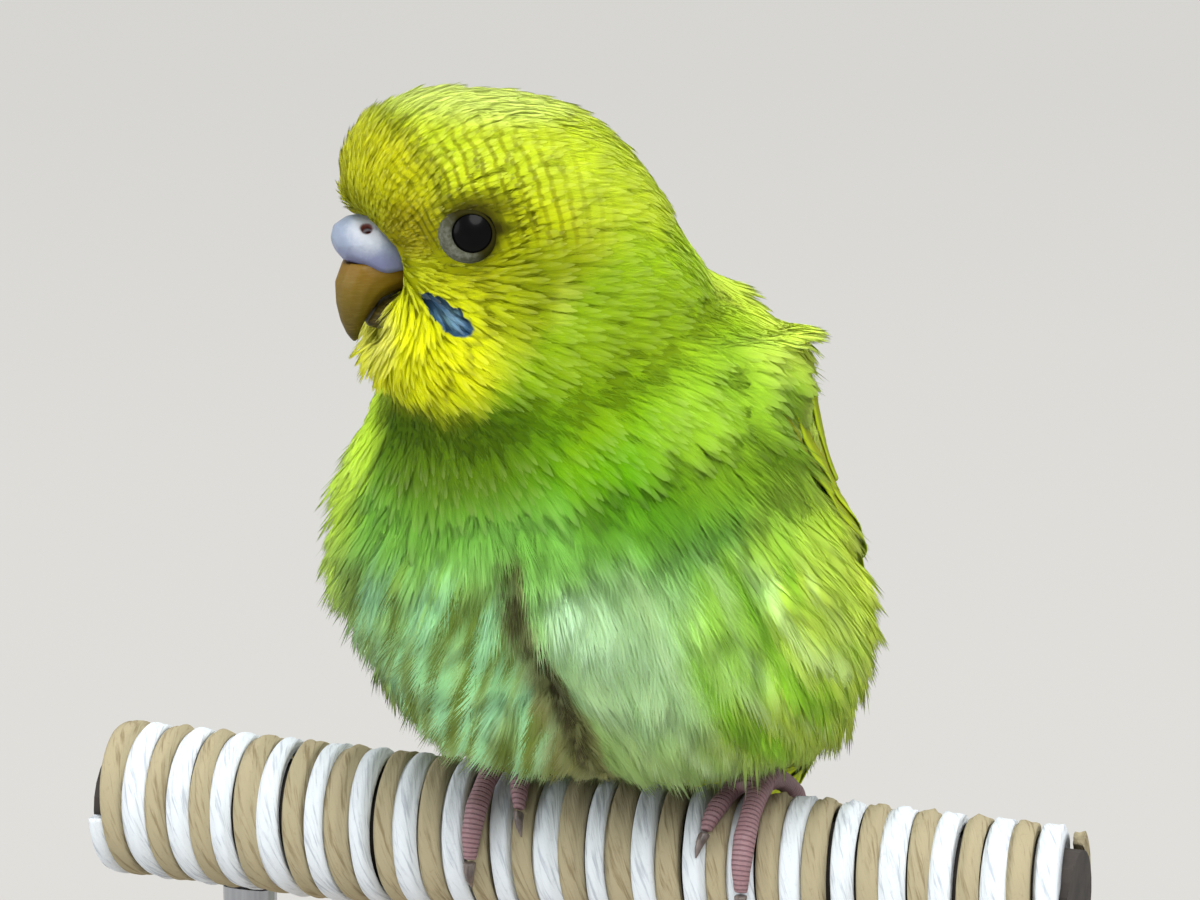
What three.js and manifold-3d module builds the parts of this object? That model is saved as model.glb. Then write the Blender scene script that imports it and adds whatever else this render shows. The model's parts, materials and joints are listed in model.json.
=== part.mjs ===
// A budgerigar at life size, resting fluffed up on a cord-wrapped bar that stands on a plain display stand.
// Millimetres, +Z up. The bird faces -Y with its head turned to its own right, and the bar runs along X.
// The origin is the middle of the underside of the stand's base.
import * as THREE from "three";
import { mergeVertices } from "three/addons/utils/BufferGeometryUtils.js";
import Module from "manifold-3d";

// Driving dimensions
const GAP = 0.3; // clearance left between touching pieces
const BAR_RADIUS = 8.5; // over the cord
const BAR_LENGTH = 110;
const BAR_MIDDLE = { x: -3, y: -12, z: 95 }; // where the bar's axis stands over the base
const BELLY_CUT = 12.1; // radius about the bar that the belly leaves to the bar and the feet
const TAIL_PITCH = 66; // degrees below the horizontal
const TAIL_LENGTHS = [80, 72, 62, 52, 43, 35]; // from the middle pair of feathers to the outer pair
const HEAD_TURN = 52; // degrees to the bird's right
const HEAD_X = -7.5; // the head's upright axis, seen from the bar's middle
const HEAD_Y = -9.7;
const EYE = { forward: 7.4, height: 71, radius: 3.4, opening: 2.1, proud: 0.15 };
const LIDS = { radius: 2.8, slope: 0.9, proud: 0.35, deep: 1.7 };
const FEET_MIDDLE = 3.5; // x half way between the feet
const FOOT_SPREAD = 13.5; // from there to each foot
const BODY_SIDES = 24;
const BALL = { around: 14, down: 9 }; // facets of an eyeball

// Height above the bar's axis, then sideways shift, middle, half width, reach forward and reach back
const TORSO_STATIONS = [
  [-12, 0, 36.5, 0.6, 0.6, 0.6],
  [-9, 0, 34.6, 5.2, 4.4, 5.4],
  [-4, 0, 31.5, 8.2, 7.4, 8.6],
  [0, 0.2, 28.4, 10.8, 10.4, 10.2],
  [4.4, 0.8, 23.4, 14, 15.4, 13.6],
  [8.6, 2, 15.5, 17.4, 20.6, 18.6],
  [11.5, 2.4, 9.1, 19.8, 23.8, 23.6],
  [15, 1.9, 4.6, 23.6, 25.2, 26.6],
  [20, 1.2, 1, 26.8, 27, 28],
  [25, 0.9, 0, 28.6, 28.6, 28.4],
  [30, 0.3, -0.5, 29.2, 29.4, 28],
  [35, -0.3, -1.2, 28.8, 29.6, 27.4],
  [40, -0.8, -1.8, 27.2, 28.2, 26.2],
  [45.5, -0.9, -1.9, 25.6, 25.4, 24.4],
  [50.5, -0.2, -1.5, 24, 22.4, 21.6],
  [55, 0.6, -0.5, 22.4, 19.6, 18.6],
  [58.6, 0.8, 0.4, 20, 16.4, 16],
  [61, 0.4, 0, 16.4, 13, 14],
  [63.5, -0.4, -0.8, 12.4, 10.4, 12],
  [68, -1.5, -2, 9.5, 8, 9.4],
  [71, -2, -3, 5, 5, 6],
  [71.8, -2, -3, 0.6, 0.6, 0.6],
];
// Height above the bar's axis, then the front and the back, forward of the head's axis, and the half width
const HEAD_STATIONS = [
  [44.4, 5, -9, 6],
  [47, 9.4, -13, 11],
  [50, 11.2, -17, 13.8],
  [53, 12.8, -19.8, 15.2],
  [56.3, 13.8, -21.6, 16],
  [60, 13.4, -22.8, 16.4],
  [64, 12.3, -22.4, 16.6],
  [67, 12.7, -20.8, 16.5],
  [70, 14.8, -18.8, 16.2],
  [73, 16.9, -17.2, 15.6],
  [76, 17.1, -15.2, 14.7],
  [78.5, 16.6, -12.9, 13.4],
  [81, 15, -9.9, 11.2],
  [82.9, 12.3, -6.2, 8.4],
  [84, 8.8, -0.6, 4.6],
  [84.4, 5.6, 4, 0.5],
];

const radians = THREE.MathUtils.degToRad;
const lerp = THREE.MathUtils.lerp;
const vec = (x, y, z) => new THREE.Vector3(x, y, z);
const TURN = Math.PI * 2;

const wasm = await Module();
wasm.setup();

// Joins and cuts

function solidOf(geometry) {
  const plain = geometry.clone();
  plain.deleteAttribute("normal");
  plain.deleteAttribute("uv");
  const merged = mergeVertices(plain, 1e-4);
  const made = new wasm.Manifold(
    new wasm.Mesh({
      numProp: 3,
      vertProperties: new Float32Array(merged.attributes.position.array),
      triVerts: new Uint32Array(merged.index.array),
    }),
  );
  return made.volume() < 0 ? solidOf(turnedOut(merged)) : made;
}

function turnedOut(geometry) {
  const index = Array.from(geometry.index.array);
  for (let i = 0; i < index.length; i += 3) {
    [index[i + 1], index[i + 2]] = [index[i + 2], index[i + 1]];
  }
  return geometry.clone().setIndex(index);
}

function geometryOf(solid) {
  const { numProp, numVert, vertProperties, triVerts } = solid.getMesh();
  const points = new Float32Array(numVert * 3);
  for (let i = 0; i < numVert; i++) {
    points.set(vertProperties.subarray(i * numProp, i * numProp + 3), i * 3);
  }
  const geometry = new THREE.BufferGeometry();
  geometry.setAttribute("position", new THREE.BufferAttribute(points, 3));
  geometry.setIndex(new THREE.BufferAttribute(triVerts, 1));
  geometry.computeVertexNormals();
  return geometry;
}

// The largest closed surface of a solid, so that no loose scrap of a cut stays.
function largest(solid) {
  return solid.decompose().reduce((a, b) => (a.volume() > b.volume() ? a : b));
}

function joined(pieces) {
  return pieces.reduce((a, b) => a.add(b));
}

// Closed skin over a row of rings with equal point counts, with a point closing each end.
function skinOver(rings) {
  const count = rings[0].length;
  const middle = (ring) => ring.reduce((sum, p) => sum.add(p), vec(0, 0, 0)).divideScalar(count);
  const points = [...rings.flat(), middle(rings[0]), middle(rings[rings.length - 1])];
  const first = points.length - 2;
  const last = points.length - 1;
  const index = [];
  for (let i = 0; i < count; i++) {
    const j = (i + 1) % count;
    for (let r = 0; r + 1 < rings.length; r++) {
      const low = r * count;
      const high = low + count;
      index.push(low + i, low + j, high + j, low + i, high + j, high + i);
    }
    const end = (rings.length - 1) * count;
    index.push(first, j, i, last, end + i, end + j);
  }
  const geometry = new THREE.BufferGeometry().setFromPoints(points);
  return geometry.setIndex(index);
}

// Values of a table of stations at one height, on a smooth curve through them.
function stationAt(stations, height) {
  const last = stations.length - 1;
  const z = THREE.MathUtils.clamp(height, stations[0][0], stations[last][0]);
  let k = 0;
  while (k < last - 1 && z > stations[k + 1][0]) k++;
  const near = [Math.max(k - 1, 0), k, k + 1, Math.min(k + 2, last)];
  const [before, a, b, after] = near.map((i) => stations[i]);
  const t = (z - a[0]) / (b[0] - a[0]);
  return a.map((value, i) => {
    if (i === 0) return z;
    const slopeA = ((b[i] - before[i]) / (b[0] - before[0])) * (b[0] - a[0]);
    const slopeB = ((after[i] - value) / (after[0] - a[0])) * (b[0] - a[0]);
    const t2 = t * t;
    const t3 = t2 * t;
    const leaving = value * (2 * t3 - 3 * t2 + 1) + slopeA * (t3 - 2 * t2 + t);
    return leaving + b[i] * (3 * t2 - 2 * t3) + slopeB * (t3 - t2);
  });
}

const WIDE_STEP = 4.3; // stations further apart than this get some between them

// Heights of a table's stations with some between them where they lie far apart.
function heightsOf(stations, between) {
  const heights = [];
  for (let k = 0; k + 1 < stations.length; k++) {
    const steps = stations[k + 1][0] - stations[k][0] > WIDE_STEP ? between : 1;
    for (let s = 0; s < steps; s++) heights.push(lerp(stations[k][0], stations[k + 1][0], s / steps));
  }
  return [...heights, stations[stations.length - 1][0]];
}

// Trunk of the body

// The breast feathers part along the belly: deepest at a height, fading above and below it, and drifting to
// the bird's left on the way down from the top
const PARTING = { depth: 2.6, height: 21, reach: 7.5, width: 0.11, top: 36, run: 22, drift: 20 };

function bellyParting(height, angle) {
  const down = THREE.MathUtils.clamp((PARTING.top - height) / PARTING.run, 0, 1);
  const aside = Math.sin((angle - radians(PARTING.drift * down)) / 2);
  const depth = PARTING.depth * Math.exp(-(((height - PARTING.height) / PARTING.reach) ** 2));
  return depth * Math.exp(-((aside / PARTING.width) ** 2));
}

// Front and rear edges of a folded wing, in degrees round from the breast
const WING_EDGES = {
  heights: [59, 49, 38.5, 29, 19],
  left: [52, 74, 104, 120, 130],
  right: [78, 92, 110, 121, 130],
  rear: [136, 156, 166, 169, 168],
};
const WING_LOW = WING_EDGES.heights[WING_EDGES.heights.length - 1];
// How far the trunk gives way under a folded wing, and where that bed fades out: degrees outside and inside
// the wing's edges, then heights at its lower and upper ends
const BED = { depth: 2.6, outside: 6, inside: 9, low: [6, 18], high: [57, 61] };

function wingEdge(which, height) {
  const { heights } = WING_EDGES;
  const list = WING_EDGES[which];
  const z = THREE.MathUtils.clamp(height, WING_LOW, heights[0]);
  let k = 0;
  while (k < heights.length - 2 && z < heights[k + 1]) k++;
  return lerp(list[k], list[k + 1], (heights[k] - z) / (heights[k] - heights[k + 1]));
}

// Depth of the bed at a height and an angle.
function wingBed(height, angle) {
  const turned = THREE.MathUtils.radToDeg(Math.atan2(Math.sin(angle), Math.cos(angle)));
  const front = wingEdge(turned > 0 ? "left" : "right", height);
  const rear = wingEdge("rear", height);
  const into = THREE.MathUtils.smoothstep(Math.abs(turned), front - BED.outside, front + BED.inside);
  const inside = 1 - THREE.MathUtils.smoothstep(Math.abs(turned), rear - BED.outside, rear + BED.inside);
  const low = THREE.MathUtils.smoothstep(height, ...BED.low);
  const high = 1 - THREE.MathUtils.smoothstep(height, ...BED.high);
  return BED.depth * into * inside * low * high;
}

// Point on the trunk: angle 0 is the breast, a quarter turn is the bird's left side.
function trunkPoint(height, angle, grow = 0) {
  const [z, shift, middle, wide, ahead, behind] = stationAt(TORSO_STATIONS, height);
  const along = Math.cos(angle);
  const inward = bellyParting(z, angle) + wingBed(z, angle);
  const reach = (along > 0 ? ahead : behind) + grow - inward;
  return vec(shift + (wide + grow - inward) * Math.sin(angle), middle - reach * along, z);
}

function trunkSolid(grow = 0) {
  const rings = heightsOf(TORSO_STATIONS, 2).map((height) =>
    Array.from({ length: BODY_SIDES }, (_, i) => trunkPoint(height, (i / BODY_SIDES) * TURN, grow)),
  );
  return solidOf(skinOver(rings));
}

// Way out from the trunk at a height and angle.
function trunkNormal(height, angle) {
  const rise = 0.4;
  const turn = 0.02;
  const up = trunkPoint(height + rise, angle).sub(trunkPoint(height - rise, angle));
  const round = trunkPoint(height, angle + turn).sub(trunkPoint(height, angle - turn));
  return round.cross(up).normalize();
}

// Head

const headForward = vec(-Math.sin(radians(HEAD_TURN)), -Math.cos(radians(HEAD_TURN)), 0);
const headLeft = vec(-headForward.y, headForward.x, 0);

// Point from distances forward and to the left of the head's axis, and a height.
function headPoint(forward, left, height) {
  return vec(HEAD_X, HEAD_Y, height).addScaledVector(headForward, forward).addScaledVector(headLeft, left);
}

function headSurface(height, angle, grow = 0) {
  const [z, front, back, wide] = stationAt(HEAD_STATIONS, height);
  const forward = (front + back) / 2 + ((front - back) / 2 + grow) * Math.cos(angle);
  return headPoint(forward, (wide + grow) * Math.sin(angle), z);
}

function headSolid() {
  const rings = heightsOf(HEAD_STATIONS, 1).map((height) =>
    Array.from({ length: BODY_SIDES }, (_, i) => headSurface(height, (i / BODY_SIDES) * TURN)),
  );
  return solidOf(skinOver(rings));
}

const BILL_SIDES = 12;

// A tube through stations of [forward, height, half depth, half width] in the plane that halves the head.
function billTube(stations, grow = 0) {
  const rings = stations.map(([forward, height, deep, wide], k) => {
    const [f0, h0] = stations[Math.max(k - 1, 0)];
    const [f1, h1] = stations[Math.min(k + 1, stations.length - 1)];
    const run = Math.hypot(f1 - f0, h1 - h0);
    const across = [-(h1 - h0) / run, (f1 - f0) / run];
    return Array.from({ length: BILL_SIDES }, (_, i) => {
      const angle = (i / BILL_SIDES) * TURN;
      const out = (deep + grow) * Math.cos(angle);
      return headPoint(forward + across[0] * out, (wide + grow) * Math.sin(angle), height + across[1] * out);
    });
  });
  return solidOf(skinOver(rings));
}

// Hooked upper bill, from inside the face to its point
const UPPER_BILL = [
  [8.6, 66.3, 2.4, 2.6],
  [12.4, 66, 2.9, 3.1],
  [14.3, 65.1, 3, 3.1],
  [15.1, 63.6, 2.5, 2.7],
  [15.5, 62, 1.9, 2.1],
  [15.7, 60.5, 1.25, 1.4],
  [15.65, 59.3, 0.7, 0.8],
  [15.4, 58.4, 0.3, 0.3],
];
// Short lower bill, tucked behind the hook
const LOWER_BILL = [
  [6.6, 62.4, 1.6, 2.2],
  [9.6, 61.8, 1.9, 2.5],
  [12, 61.1, 1.6, 2.3],
  [13.5, 60.6, 1.1, 1.7],
  [14.3, 60.3, 0.5, 0.9],
];
// Bare swelling over the root of the bill
const CERE = [
  [7.4, 69.2, 1.6, 2.6],
  [10.6, 69, 2.3, 3.4],
  [13.4, 68.9, 2.6, 3.6],
  [15.6, 68.8, 2.5, 3.2],
  [16.9, 68.6, 1.9, 2.3],
  [17.5, 68.4, 0.8, 1],
];
const NOSTRIL = { forward: 14.8, left: 2.6, height: 70.3, radius: 0.5, depth: 1.5 };
const NOSTRIL_WAY = { back: 0.8, inward: 0.4, down: 2 }; // how a nostril leads in; inward is a share of left

function nostrilCut(side) {
  const sides = 8;
  const hole = new THREE.CylinderGeometry(NOSTRIL.radius, NOSTRIL.radius, NOSTRIL.depth * 2, sides);
  hole.rotateX(Math.PI / 2); // the hole now runs along Z
  const { forward, left, height } = NOSTRIL;
  const { back, inward, down } = NOSTRIL_WAY;
  const at = headPoint(forward, side * left, height);
  const inside = headPoint(forward - back, side * left * (1 - inward), height - down);
  const frame = new THREE.Matrix4().lookAt(at, inside, headForward).setPosition(at);
  return solidOf(hole.applyMatrix4(frame));
}

// The eye's middle: the ball shows through a round opening in the head's side.
function eyePlace(side) {
  const [, front, back] = stationAt(HEAD_STATIONS, EYE.height);
  const angle = side * Math.acos((EYE.forward - (front + back) / 2) / ((front - back) / 2));
  const outside = headSurface(EYE.height, angle);
  const turn = 0.02;
  const up = headSurface(EYE.height + 1, angle).sub(headSurface(EYE.height - 1, angle));
  const round = headSurface(EYE.height, angle + turn).sub(headSurface(EYE.height, angle - turn));
  const out = round.cross(up).normalize();
  const sunk = Math.sqrt(EYE.radius ** 2 - EYE.opening ** 2) - EYE.proud;
  return { outside, out, middle: outside.clone().addScaledVector(out, -sunk) };
}

function ball(centre, radius) {
  const sphere = new THREE.SphereGeometry(radius, BALL.around, BALL.down);
  return solidOf(sphere.translate(centre.x, centre.y, centre.z));
}

// Low mound of bare skin round the eye, which the socket opens into a ring of lids.
function lidMound(side) {
  const { outside, out } = eyePlace(side);
  const { radius, slope, proud, deep } = LIDS;
  const mound = new THREE.CylinderGeometry(radius, radius + slope, deep, BALL.around).rotateX(Math.PI / 2);
  mound.translate(0, 0, proud - deep / 2);
  const frame = new THREE.Matrix4().lookAt(outside.clone().add(out), outside, vec(0, 0, 1));
  return solidOf(mound.applyMatrix4(frame.setPosition(outside)));
}

// Feathers

// Shares of a vane's greatest half width at its root and its tip, of its length at which it is widest and at
// which it gets thin, and of its thickness at the tip
const VANE = { root: 0.45, tip: 0.12, widest: 0.3, thinning: 0.92, thin: 0.6 };

// Half width of a vane from its root, 0, to its tip, 1.
function vaneWidth(t, blunt) {
  const opening = lerp(VANE.root, 1, Math.min(1, t / VANE.widest));
  const closing = t < blunt ? 1 : Math.sqrt(Math.max(0, 1 - ((t - blunt) / (1 - blunt)) ** 2));
  return opening * Math.max(closing, VANE.tip);
}

// A flat tapered feather, thickest along its shaft. placeAt gives {at, out} a way along it and a way aside.
function feather(placeAt, { wide, thick, blunt, steps }) {
  const rings = [];
  for (let k = 0; k <= steps; k++) {
    const t = k / steps;
    const { at, out } = placeAt(t, 0);
    const half = wide * vaneWidth(t, blunt);
    const deep = (thick / 2) * (t > VANE.thinning ? VANE.thin : 1);
    rings.push([
      placeAt(t, half).at,
      at.clone().addScaledVector(out, deep),
      placeAt(t, -half).at,
      at.clone().addScaledVector(out, -deep),
    ]);
  }
  return solidOf(skinOver(rings));
}

const RUMP_TOP = 3; // below this height a wing's tip runs straight on over the rump
const TIP_NARROWING = 0.022; // how much the wing's tip draws in for each millimetre below that

// Place over the body under a folded wing.
function wingPlace(height, angle, lift) {
  const z = Math.max(height, RUMP_TOP);
  const at = trunkPoint(z, angle).addScaledVector(trunkNormal(z, angle), lift);
  const past = z - height;
  at.z -= past;
  at.y += past / Math.tan(radians(TAIL_PITCH));
  at.x *= 1 - past * TIP_NARROWING;
  return { at, out: trunkNormal(z, angle) };
}

// Tiers of one wing. Roots and tips are height and angle, of the first and of the last feather
const WING_TIERS = {
  primaries: {
    count: 6, wide: 3.2, thick: 0.9, blunt: 0.78, lift: [1.1, 1.7], steps: 4,
    root: [[30, 126], [24, 145]], tip: [[-13, 170], [9, 166]],
  },
  secondaries: {
    count: 6, wide: 3.8, thick: 0.9, blunt: 0.72, lift: [1.8, 1.7], steps: 3,
    root: [[38, 112], [40, 158]], tip: [[22, 131], [14, 165]],
  },
  great_coverts: {
    count: 6, wide: 3.9, thick: 0.9, blunt: 0.6, lift: [2.2, 2.4], steps: 3,
    root: [[47, 84], [47, 156]], tip: [[33, 115], [29, 163]],
  },
  small_coverts: {
    count: 5, wide: 4.3, thick: 0.9, blunt: 0.5, lift: [2.4, 2.9], steps: 3,
    root: [[56, 62], [55, 140]], tip: [[44, 84], [41, 156]],
  },
};

// A vane's edges lie lower than its shaft, and every second feather of a tier lies a little higher. The
// foremost feather has only a share of its tier's lift, which rises to the whole of it further back
const LIE = { edgeDrop: 0.25, shingle: 0.28, foremost: 0.45, rising: 1.6 };

function wingTier(tier, side) {
  return Array.from({ length: tier.count }, (_, i) => {
    const share = i / (tier.count - 1);
    const ends = [tier.root, tier.tip].map(([first, last]) => first.map((v, k) => lerp(v, last[k], share)));
    const shingle = (i % 2) * LIE.shingle;
    const settled = Math.min(1, LIE.foremost + share * LIE.rising);
    const placeAt = (t, aside) => {
      const height = lerp(ends[0][0], ends[1][0], t);
      const girth = stationAt(TORSO_STATIONS, Math.max(height, RUMP_TOP))[3];
      const turned = lerp(ends[0][1], ends[1][1], t) + THREE.MathUtils.radToDeg(aside / girth);
      const tuck = side > 0 ? 0 : (wingEdge("right", height) - wingEdge("left", height)) * (1 - share);
      const drop = aside === 0 ? 0 : LIE.edgeDrop;
      const lift = lerp(tier.lift[0], tier.lift[1], t) * settled + shingle - drop;
      return wingPlace(height, side * radians(turned + tuck), lift);
    };
    return feather(placeAt, tier);
  });
}

// Facets of a wing's shell, its thickness at the edges and what the swelling adds in the middle
const SHELL = { rows: 8, columns: 6, edge: 0.5, swell: 1.9 };
// Share of the swelling's arch that is left out at the shoulder, and how steeply it rises across and along
const SWELLING = { shoulder: 0.12, across: 0.6, along: 0.5 };
const SHELL_GAP = GAP + 0.15; // from the body to the shell

// The wing's flesh and small coverts: a shell over the trunk from the shoulder to the long feathers' roots.
function wingShell(side) {
  const { rows, columns, edge, swell } = SHELL;
  const { shoulder, across, along } = SWELLING;
  const layer = (deep) =>
    Array.from({ length: rows + 1 }, (_, r) => {
      const t = r / rows;
      const height = lerp(WING_EDGES.heights[0], WING_LOW, t);
      return Array.from({ length: columns + 1 }, (_, c) => {
        const s = c / columns;
        const front = wingEdge(side > 0 ? "left" : "right", height);
        const angle = side * radians(lerp(front, wingEdge("rear", height), s));
        const fullness = Math.sin(Math.PI * Math.min(1, shoulder + t * 0.95)) ** along;
        const thick = edge + swell * Math.sin(Math.PI * s) ** across * fullness;
        return wingPlace(height, angle, SHELL_GAP + deep * thick).at;
      });
    });
  // One ring per row: out along the outer face and back along the inner face
  const outer = layer(1);
  const inner = layer(0);
  const rings = outer.map((row, r) => [...row, ...inner[r].slice().reverse()]);
  return solidOf(closedStrip(rings));
}

// Like skinOver, but each end is closed by a flat strip between the two faces of a shell.
function closedStrip(rings) {
  const count = rings[0].length;
  const half = count / 2;
  const points = rings.flat();
  const index = [];
  for (let i = 0; i < count; i++) {
    const j = (i + 1) % count;
    for (let r = 0; r + 1 < rings.length; r++) {
      const low = r * count;
      const high = low + count;
      index.push(low + i, low + j, high + j, low + i, high + j, high + i);
    }
  }
  const end = (rings.length - 1) * count;
  for (let i = 0; i + 1 < half; i++) {
    const [a, b, c, d] = [i, i + 1, count - 2 - i, count - 1 - i];
    index.push(a, c, b, a, d, c);
    index.push(end + a, end + b, end + c, end + a, end + c, end + d);
  }
  return new THREE.BufferGeometry().setFromPoints(points).setIndex(index);
}

function wingSolid(side, trunk) {
  const tiers = Object.values(WING_TIERS).flatMap((tier) => wingTier(tier, side));
  const whole = joined([wingShell(side), ...tiers]).subtract(trunk);
  return largest(whole.trimByPlane([side, 0, 0], GAP / 2));
}

// Tail

const tailAlong = vec(0, Math.cos(radians(TAIL_PITCH)), -Math.sin(radians(TAIL_PITCH)));
const tailUp = vec(0, Math.sin(radians(TAIL_PITCH)), Math.cos(radians(TAIL_PITCH)));
const TAIL_ROOT = vec(0, 32.6, -1); // middle of the joint between rump and tail
const TAIL_CUT = tailAlong.dot(TAIL_ROOT);
// From each pair of tail feathers to the next: how far it lies lower, fans out in degrees and starts aside
const TAIL_STEP = { lower: 0.85, fan: 1.7, aside: 0.55 };
const TAIL_TOP = 2.1; // height of the middle pair over the middle of the tail
const TAIL_OVERLAP = 0.42; // how much lower the left feather of a pair lies
const TAIL_VANE = { wide: 3.3, thick: 0.55, blunt: 0.8, steps: 4 };
const TAIL_DROOP = 2; // how far the tip of the longest feather drops
// Coverts over and under the tail's root: how high they start, their length and how far their tips close in
const TAIL_COVERTS = {
  above: { rise: 4.4, length: 17, fall: -1.6 },
  below: { rise: -3.8, length: 15, fall: 1.4 },
};
const COVERT_VANE = { wide: 2.6, thick: 1, blunt: 0.6, steps: 3 };
const COVERT_FAN = { aside: 3.6, spread: 0.14, shorter: 0.3 };

function tailFeather(pair, side) {
  const length = TAIL_LENGTHS[pair];
  const layer = TAIL_TOP - TAIL_STEP.lower * pair - (side > 0 ? TAIL_OVERLAP : 0);
  const spread = radians(pair * TAIL_STEP.fan + 0.5);
  const along = tailAlong.clone().multiplyScalar(Math.cos(spread)).add(vec(side * Math.sin(spread), 0, 0));
  const root = TAIL_ROOT.clone().addScaledVector(tailAlong, 1.2).addScaledVector(tailUp, layer * 0.75);
  root.x = side * (0.5 + pair * TAIL_STEP.aside);
  const rise = (t) => layer * 0.25 * t - TAIL_DROOP * t * t * (length / TAIL_LENGTHS[0]);
  return feather(straightPlaces(root, along, length, rise), TAIL_VANE);
}

// Places of a straight vane over the tail, which rises from its root by what rise gives at each share.
function straightPlaces(root, along, length, rise) {
  const across = along.clone().cross(tailUp);
  return (t, aside) => {
    const at = root.clone().addScaledVector(along, t * length);
    return { at: at.addScaledVector(tailUp, rise(t)).addScaledVector(across, aside), out: tailUp };
  };
}

// Short feather over the root of the tail: share runs from -1 on the bird's right to 1 on its left.
function tailCovert(share, { rise, length, fall }) {
  const root = TAIL_ROOT.clone().addScaledVector(tailAlong, 1.4).addScaledVector(tailUp, rise);
  root.x = share * COVERT_FAN.aside;
  const along = tailAlong.clone().add(vec(share * COVERT_FAN.spread, 0, 0)).normalize();
  const shortened = length * (1 - COVERT_FAN.shorter * Math.abs(share));
  return feather(straightPlaces(root, along, shortened, (t) => fall * t), COVERT_VANE);
}

function tailSolid(trunk) {
  const stump = trunk.trimByPlane(tailAlong.toArray(), TAIL_CUT + GAP);
  const vanes = TAIL_LENGTHS.flatMap((_, pair) => [-1, 1].map((side) => tailFeather(pair, side)));
  const rows = Object.values(TAIL_COVERTS);
  const coverts = [-1, 0, 1].flatMap((share) => rows.map((row) => tailCovert(share, row)));
  const whole = joined([stump, ...vanes, ...coverts]);
  return largest(whole.trimByPlane(tailAlong.toArray(), TAIL_CUT + GAP));
}

// Feet

// Point at a distance from the bar's axis, turned from its top towards the front by an angle.
function barPoint(x, radius, angle) {
  return vec(x, -radius * Math.sin(angle), radius * Math.cos(angle));
}

// A toe or claw bent round the bar, from one angle to another, through half thicknesses in equal steps.
function grip(xFrom, xTo, from, to, halves, sides, lift = 0) {
  const last = halves.length - 1;
  const rings = halves.map((half, k) => {
    const t = k / last;
    const x = lerp(xFrom, xTo, t);
    const angle = radians(lerp(from, to, t));
    const radius = BAR_RADIUS + GAP + half + lift * Math.sin(Math.PI * t);
    const out = barPoint(0, 1, angle);
    return Array.from({ length: sides }, (_, i) => {
      const turn = (i / sides) * TURN;
      return barPoint(x, radius, angle)
        .addScaledVector(out, half * Math.cos(turn))
        .add(vec(half * Math.sin(turn), 0, 0));
    });
  });
  return solidOf(skinOver(rings));
}

// Digits two and three grip in front and one and four behind. x is outwards from the foot's middle.
const TOES = {
  inner_front: { x: [-1.2, -3.1], angles: [2, 48], thick: 1.12, claw: 16 },
  outer_front: { x: [1.2, 1.6], angles: [2, 84], thick: 1.26, claw: 20 },
  outer_back: { x: [1.2, 2.7], angles: [-2, -82], thick: 1.2, claw: 20 },
  inner_back: { x: [-1.1, -2.2], angles: [-2, -44], thick: 1.1, claw: 16 },
};

const TOE_SIDES = 8;
const TOE_PADS = [1, 1.04, 0.93, 1.02, 0.9, 0.6]; // shares of a toe's thickness along it, from its root
const SOLE = { wide: 2.9, long: 3.2, deep: 1.6, lift: 1.75, around: 10, down: 7 };
const ANKLE = { top: 1.5, bottom: 1.7, height: 4, back: 2.2, lift: 1.4, sides: 10 };

function footSolid(side, envelope) {
  const middle = FEET_MIDDLE + side * FOOT_SPREAD;
  const toes = Object.values(TOES).map(({ x, angles, thick }) => {
    const halves = TOE_PADS.map((share) => thick * share);
    return grip(middle + side * x[0], middle + side * x[1], angles[0], angles[1], halves, TOE_SIDES);
  });
  const pad = new THREE.SphereGeometry(1, SOLE.around, SOLE.down).scale(SOLE.wide, SOLE.long, SOLE.deep);
  const centre = barPoint(middle, BAR_RADIUS + GAP + SOLE.lift, 0);
  const ankle = new THREE.CylinderGeometry(ANKLE.top, ANKLE.bottom, ANKLE.height, ANKLE.sides);
  ankle.rotateX(Math.PI / 2).translate(middle, ANKLE.back, centre.z + ANKLE.lift);
  const whole = joined([solidOf(pad.translate(centre.x, centre.y, centre.z)), solidOf(ankle), ...toes]);
  return largest(whole.intersect(envelope).subtract(barSolid(BAR_RADIUS + GAP * 0.9)));
}

// A claw's half thickness from root to point, in shares of the toe's, and how far it arches off the bar
const CLAW = { sides: 6, taper: [0.6, 0.5, 0.34, 0.12], lift: 0.25 };

function clawSolid(side, { x, angles, thick, claw }) {
  const middle = FEET_MIDDLE + side * FOOT_SPREAD;
  const way = Math.sign(angles[1]);
  const reach = BAR_RADIUS + GAP + thick * CLAW.taper[0];
  const start = angles[1] + way * THREE.MathUtils.radToDeg(GAP / reach);
  const halves = CLAW.taper.map((share) => share * thick);
  const slope = (x[1] - x[0]) / Math.abs(angles[1] - angles[0]);
  const at = middle + side * x[1];
  return grip(at, at + side * slope * claw, start, start + way * claw, halves, CLAW.sides, CLAW.lift);
}

// Bar and its two cords

const CORE_SIDES = 24;
const CUT_SIDES = 48;

function barSolid(radius, sides = 32) {
  const rod = new THREE.CylinderGeometry(radius, radius, BAR_LENGTH, sides);
  return solidOf(rod.rotateZ(Math.PI / 2));
}

const CORE_RADIUS = 6.2;
const CORD = { pitch: 5.4, width: 2.36, top: 1.6, inside: 6.95, turnSteps: 8, turns: 21, end: 0.6 };

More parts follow.
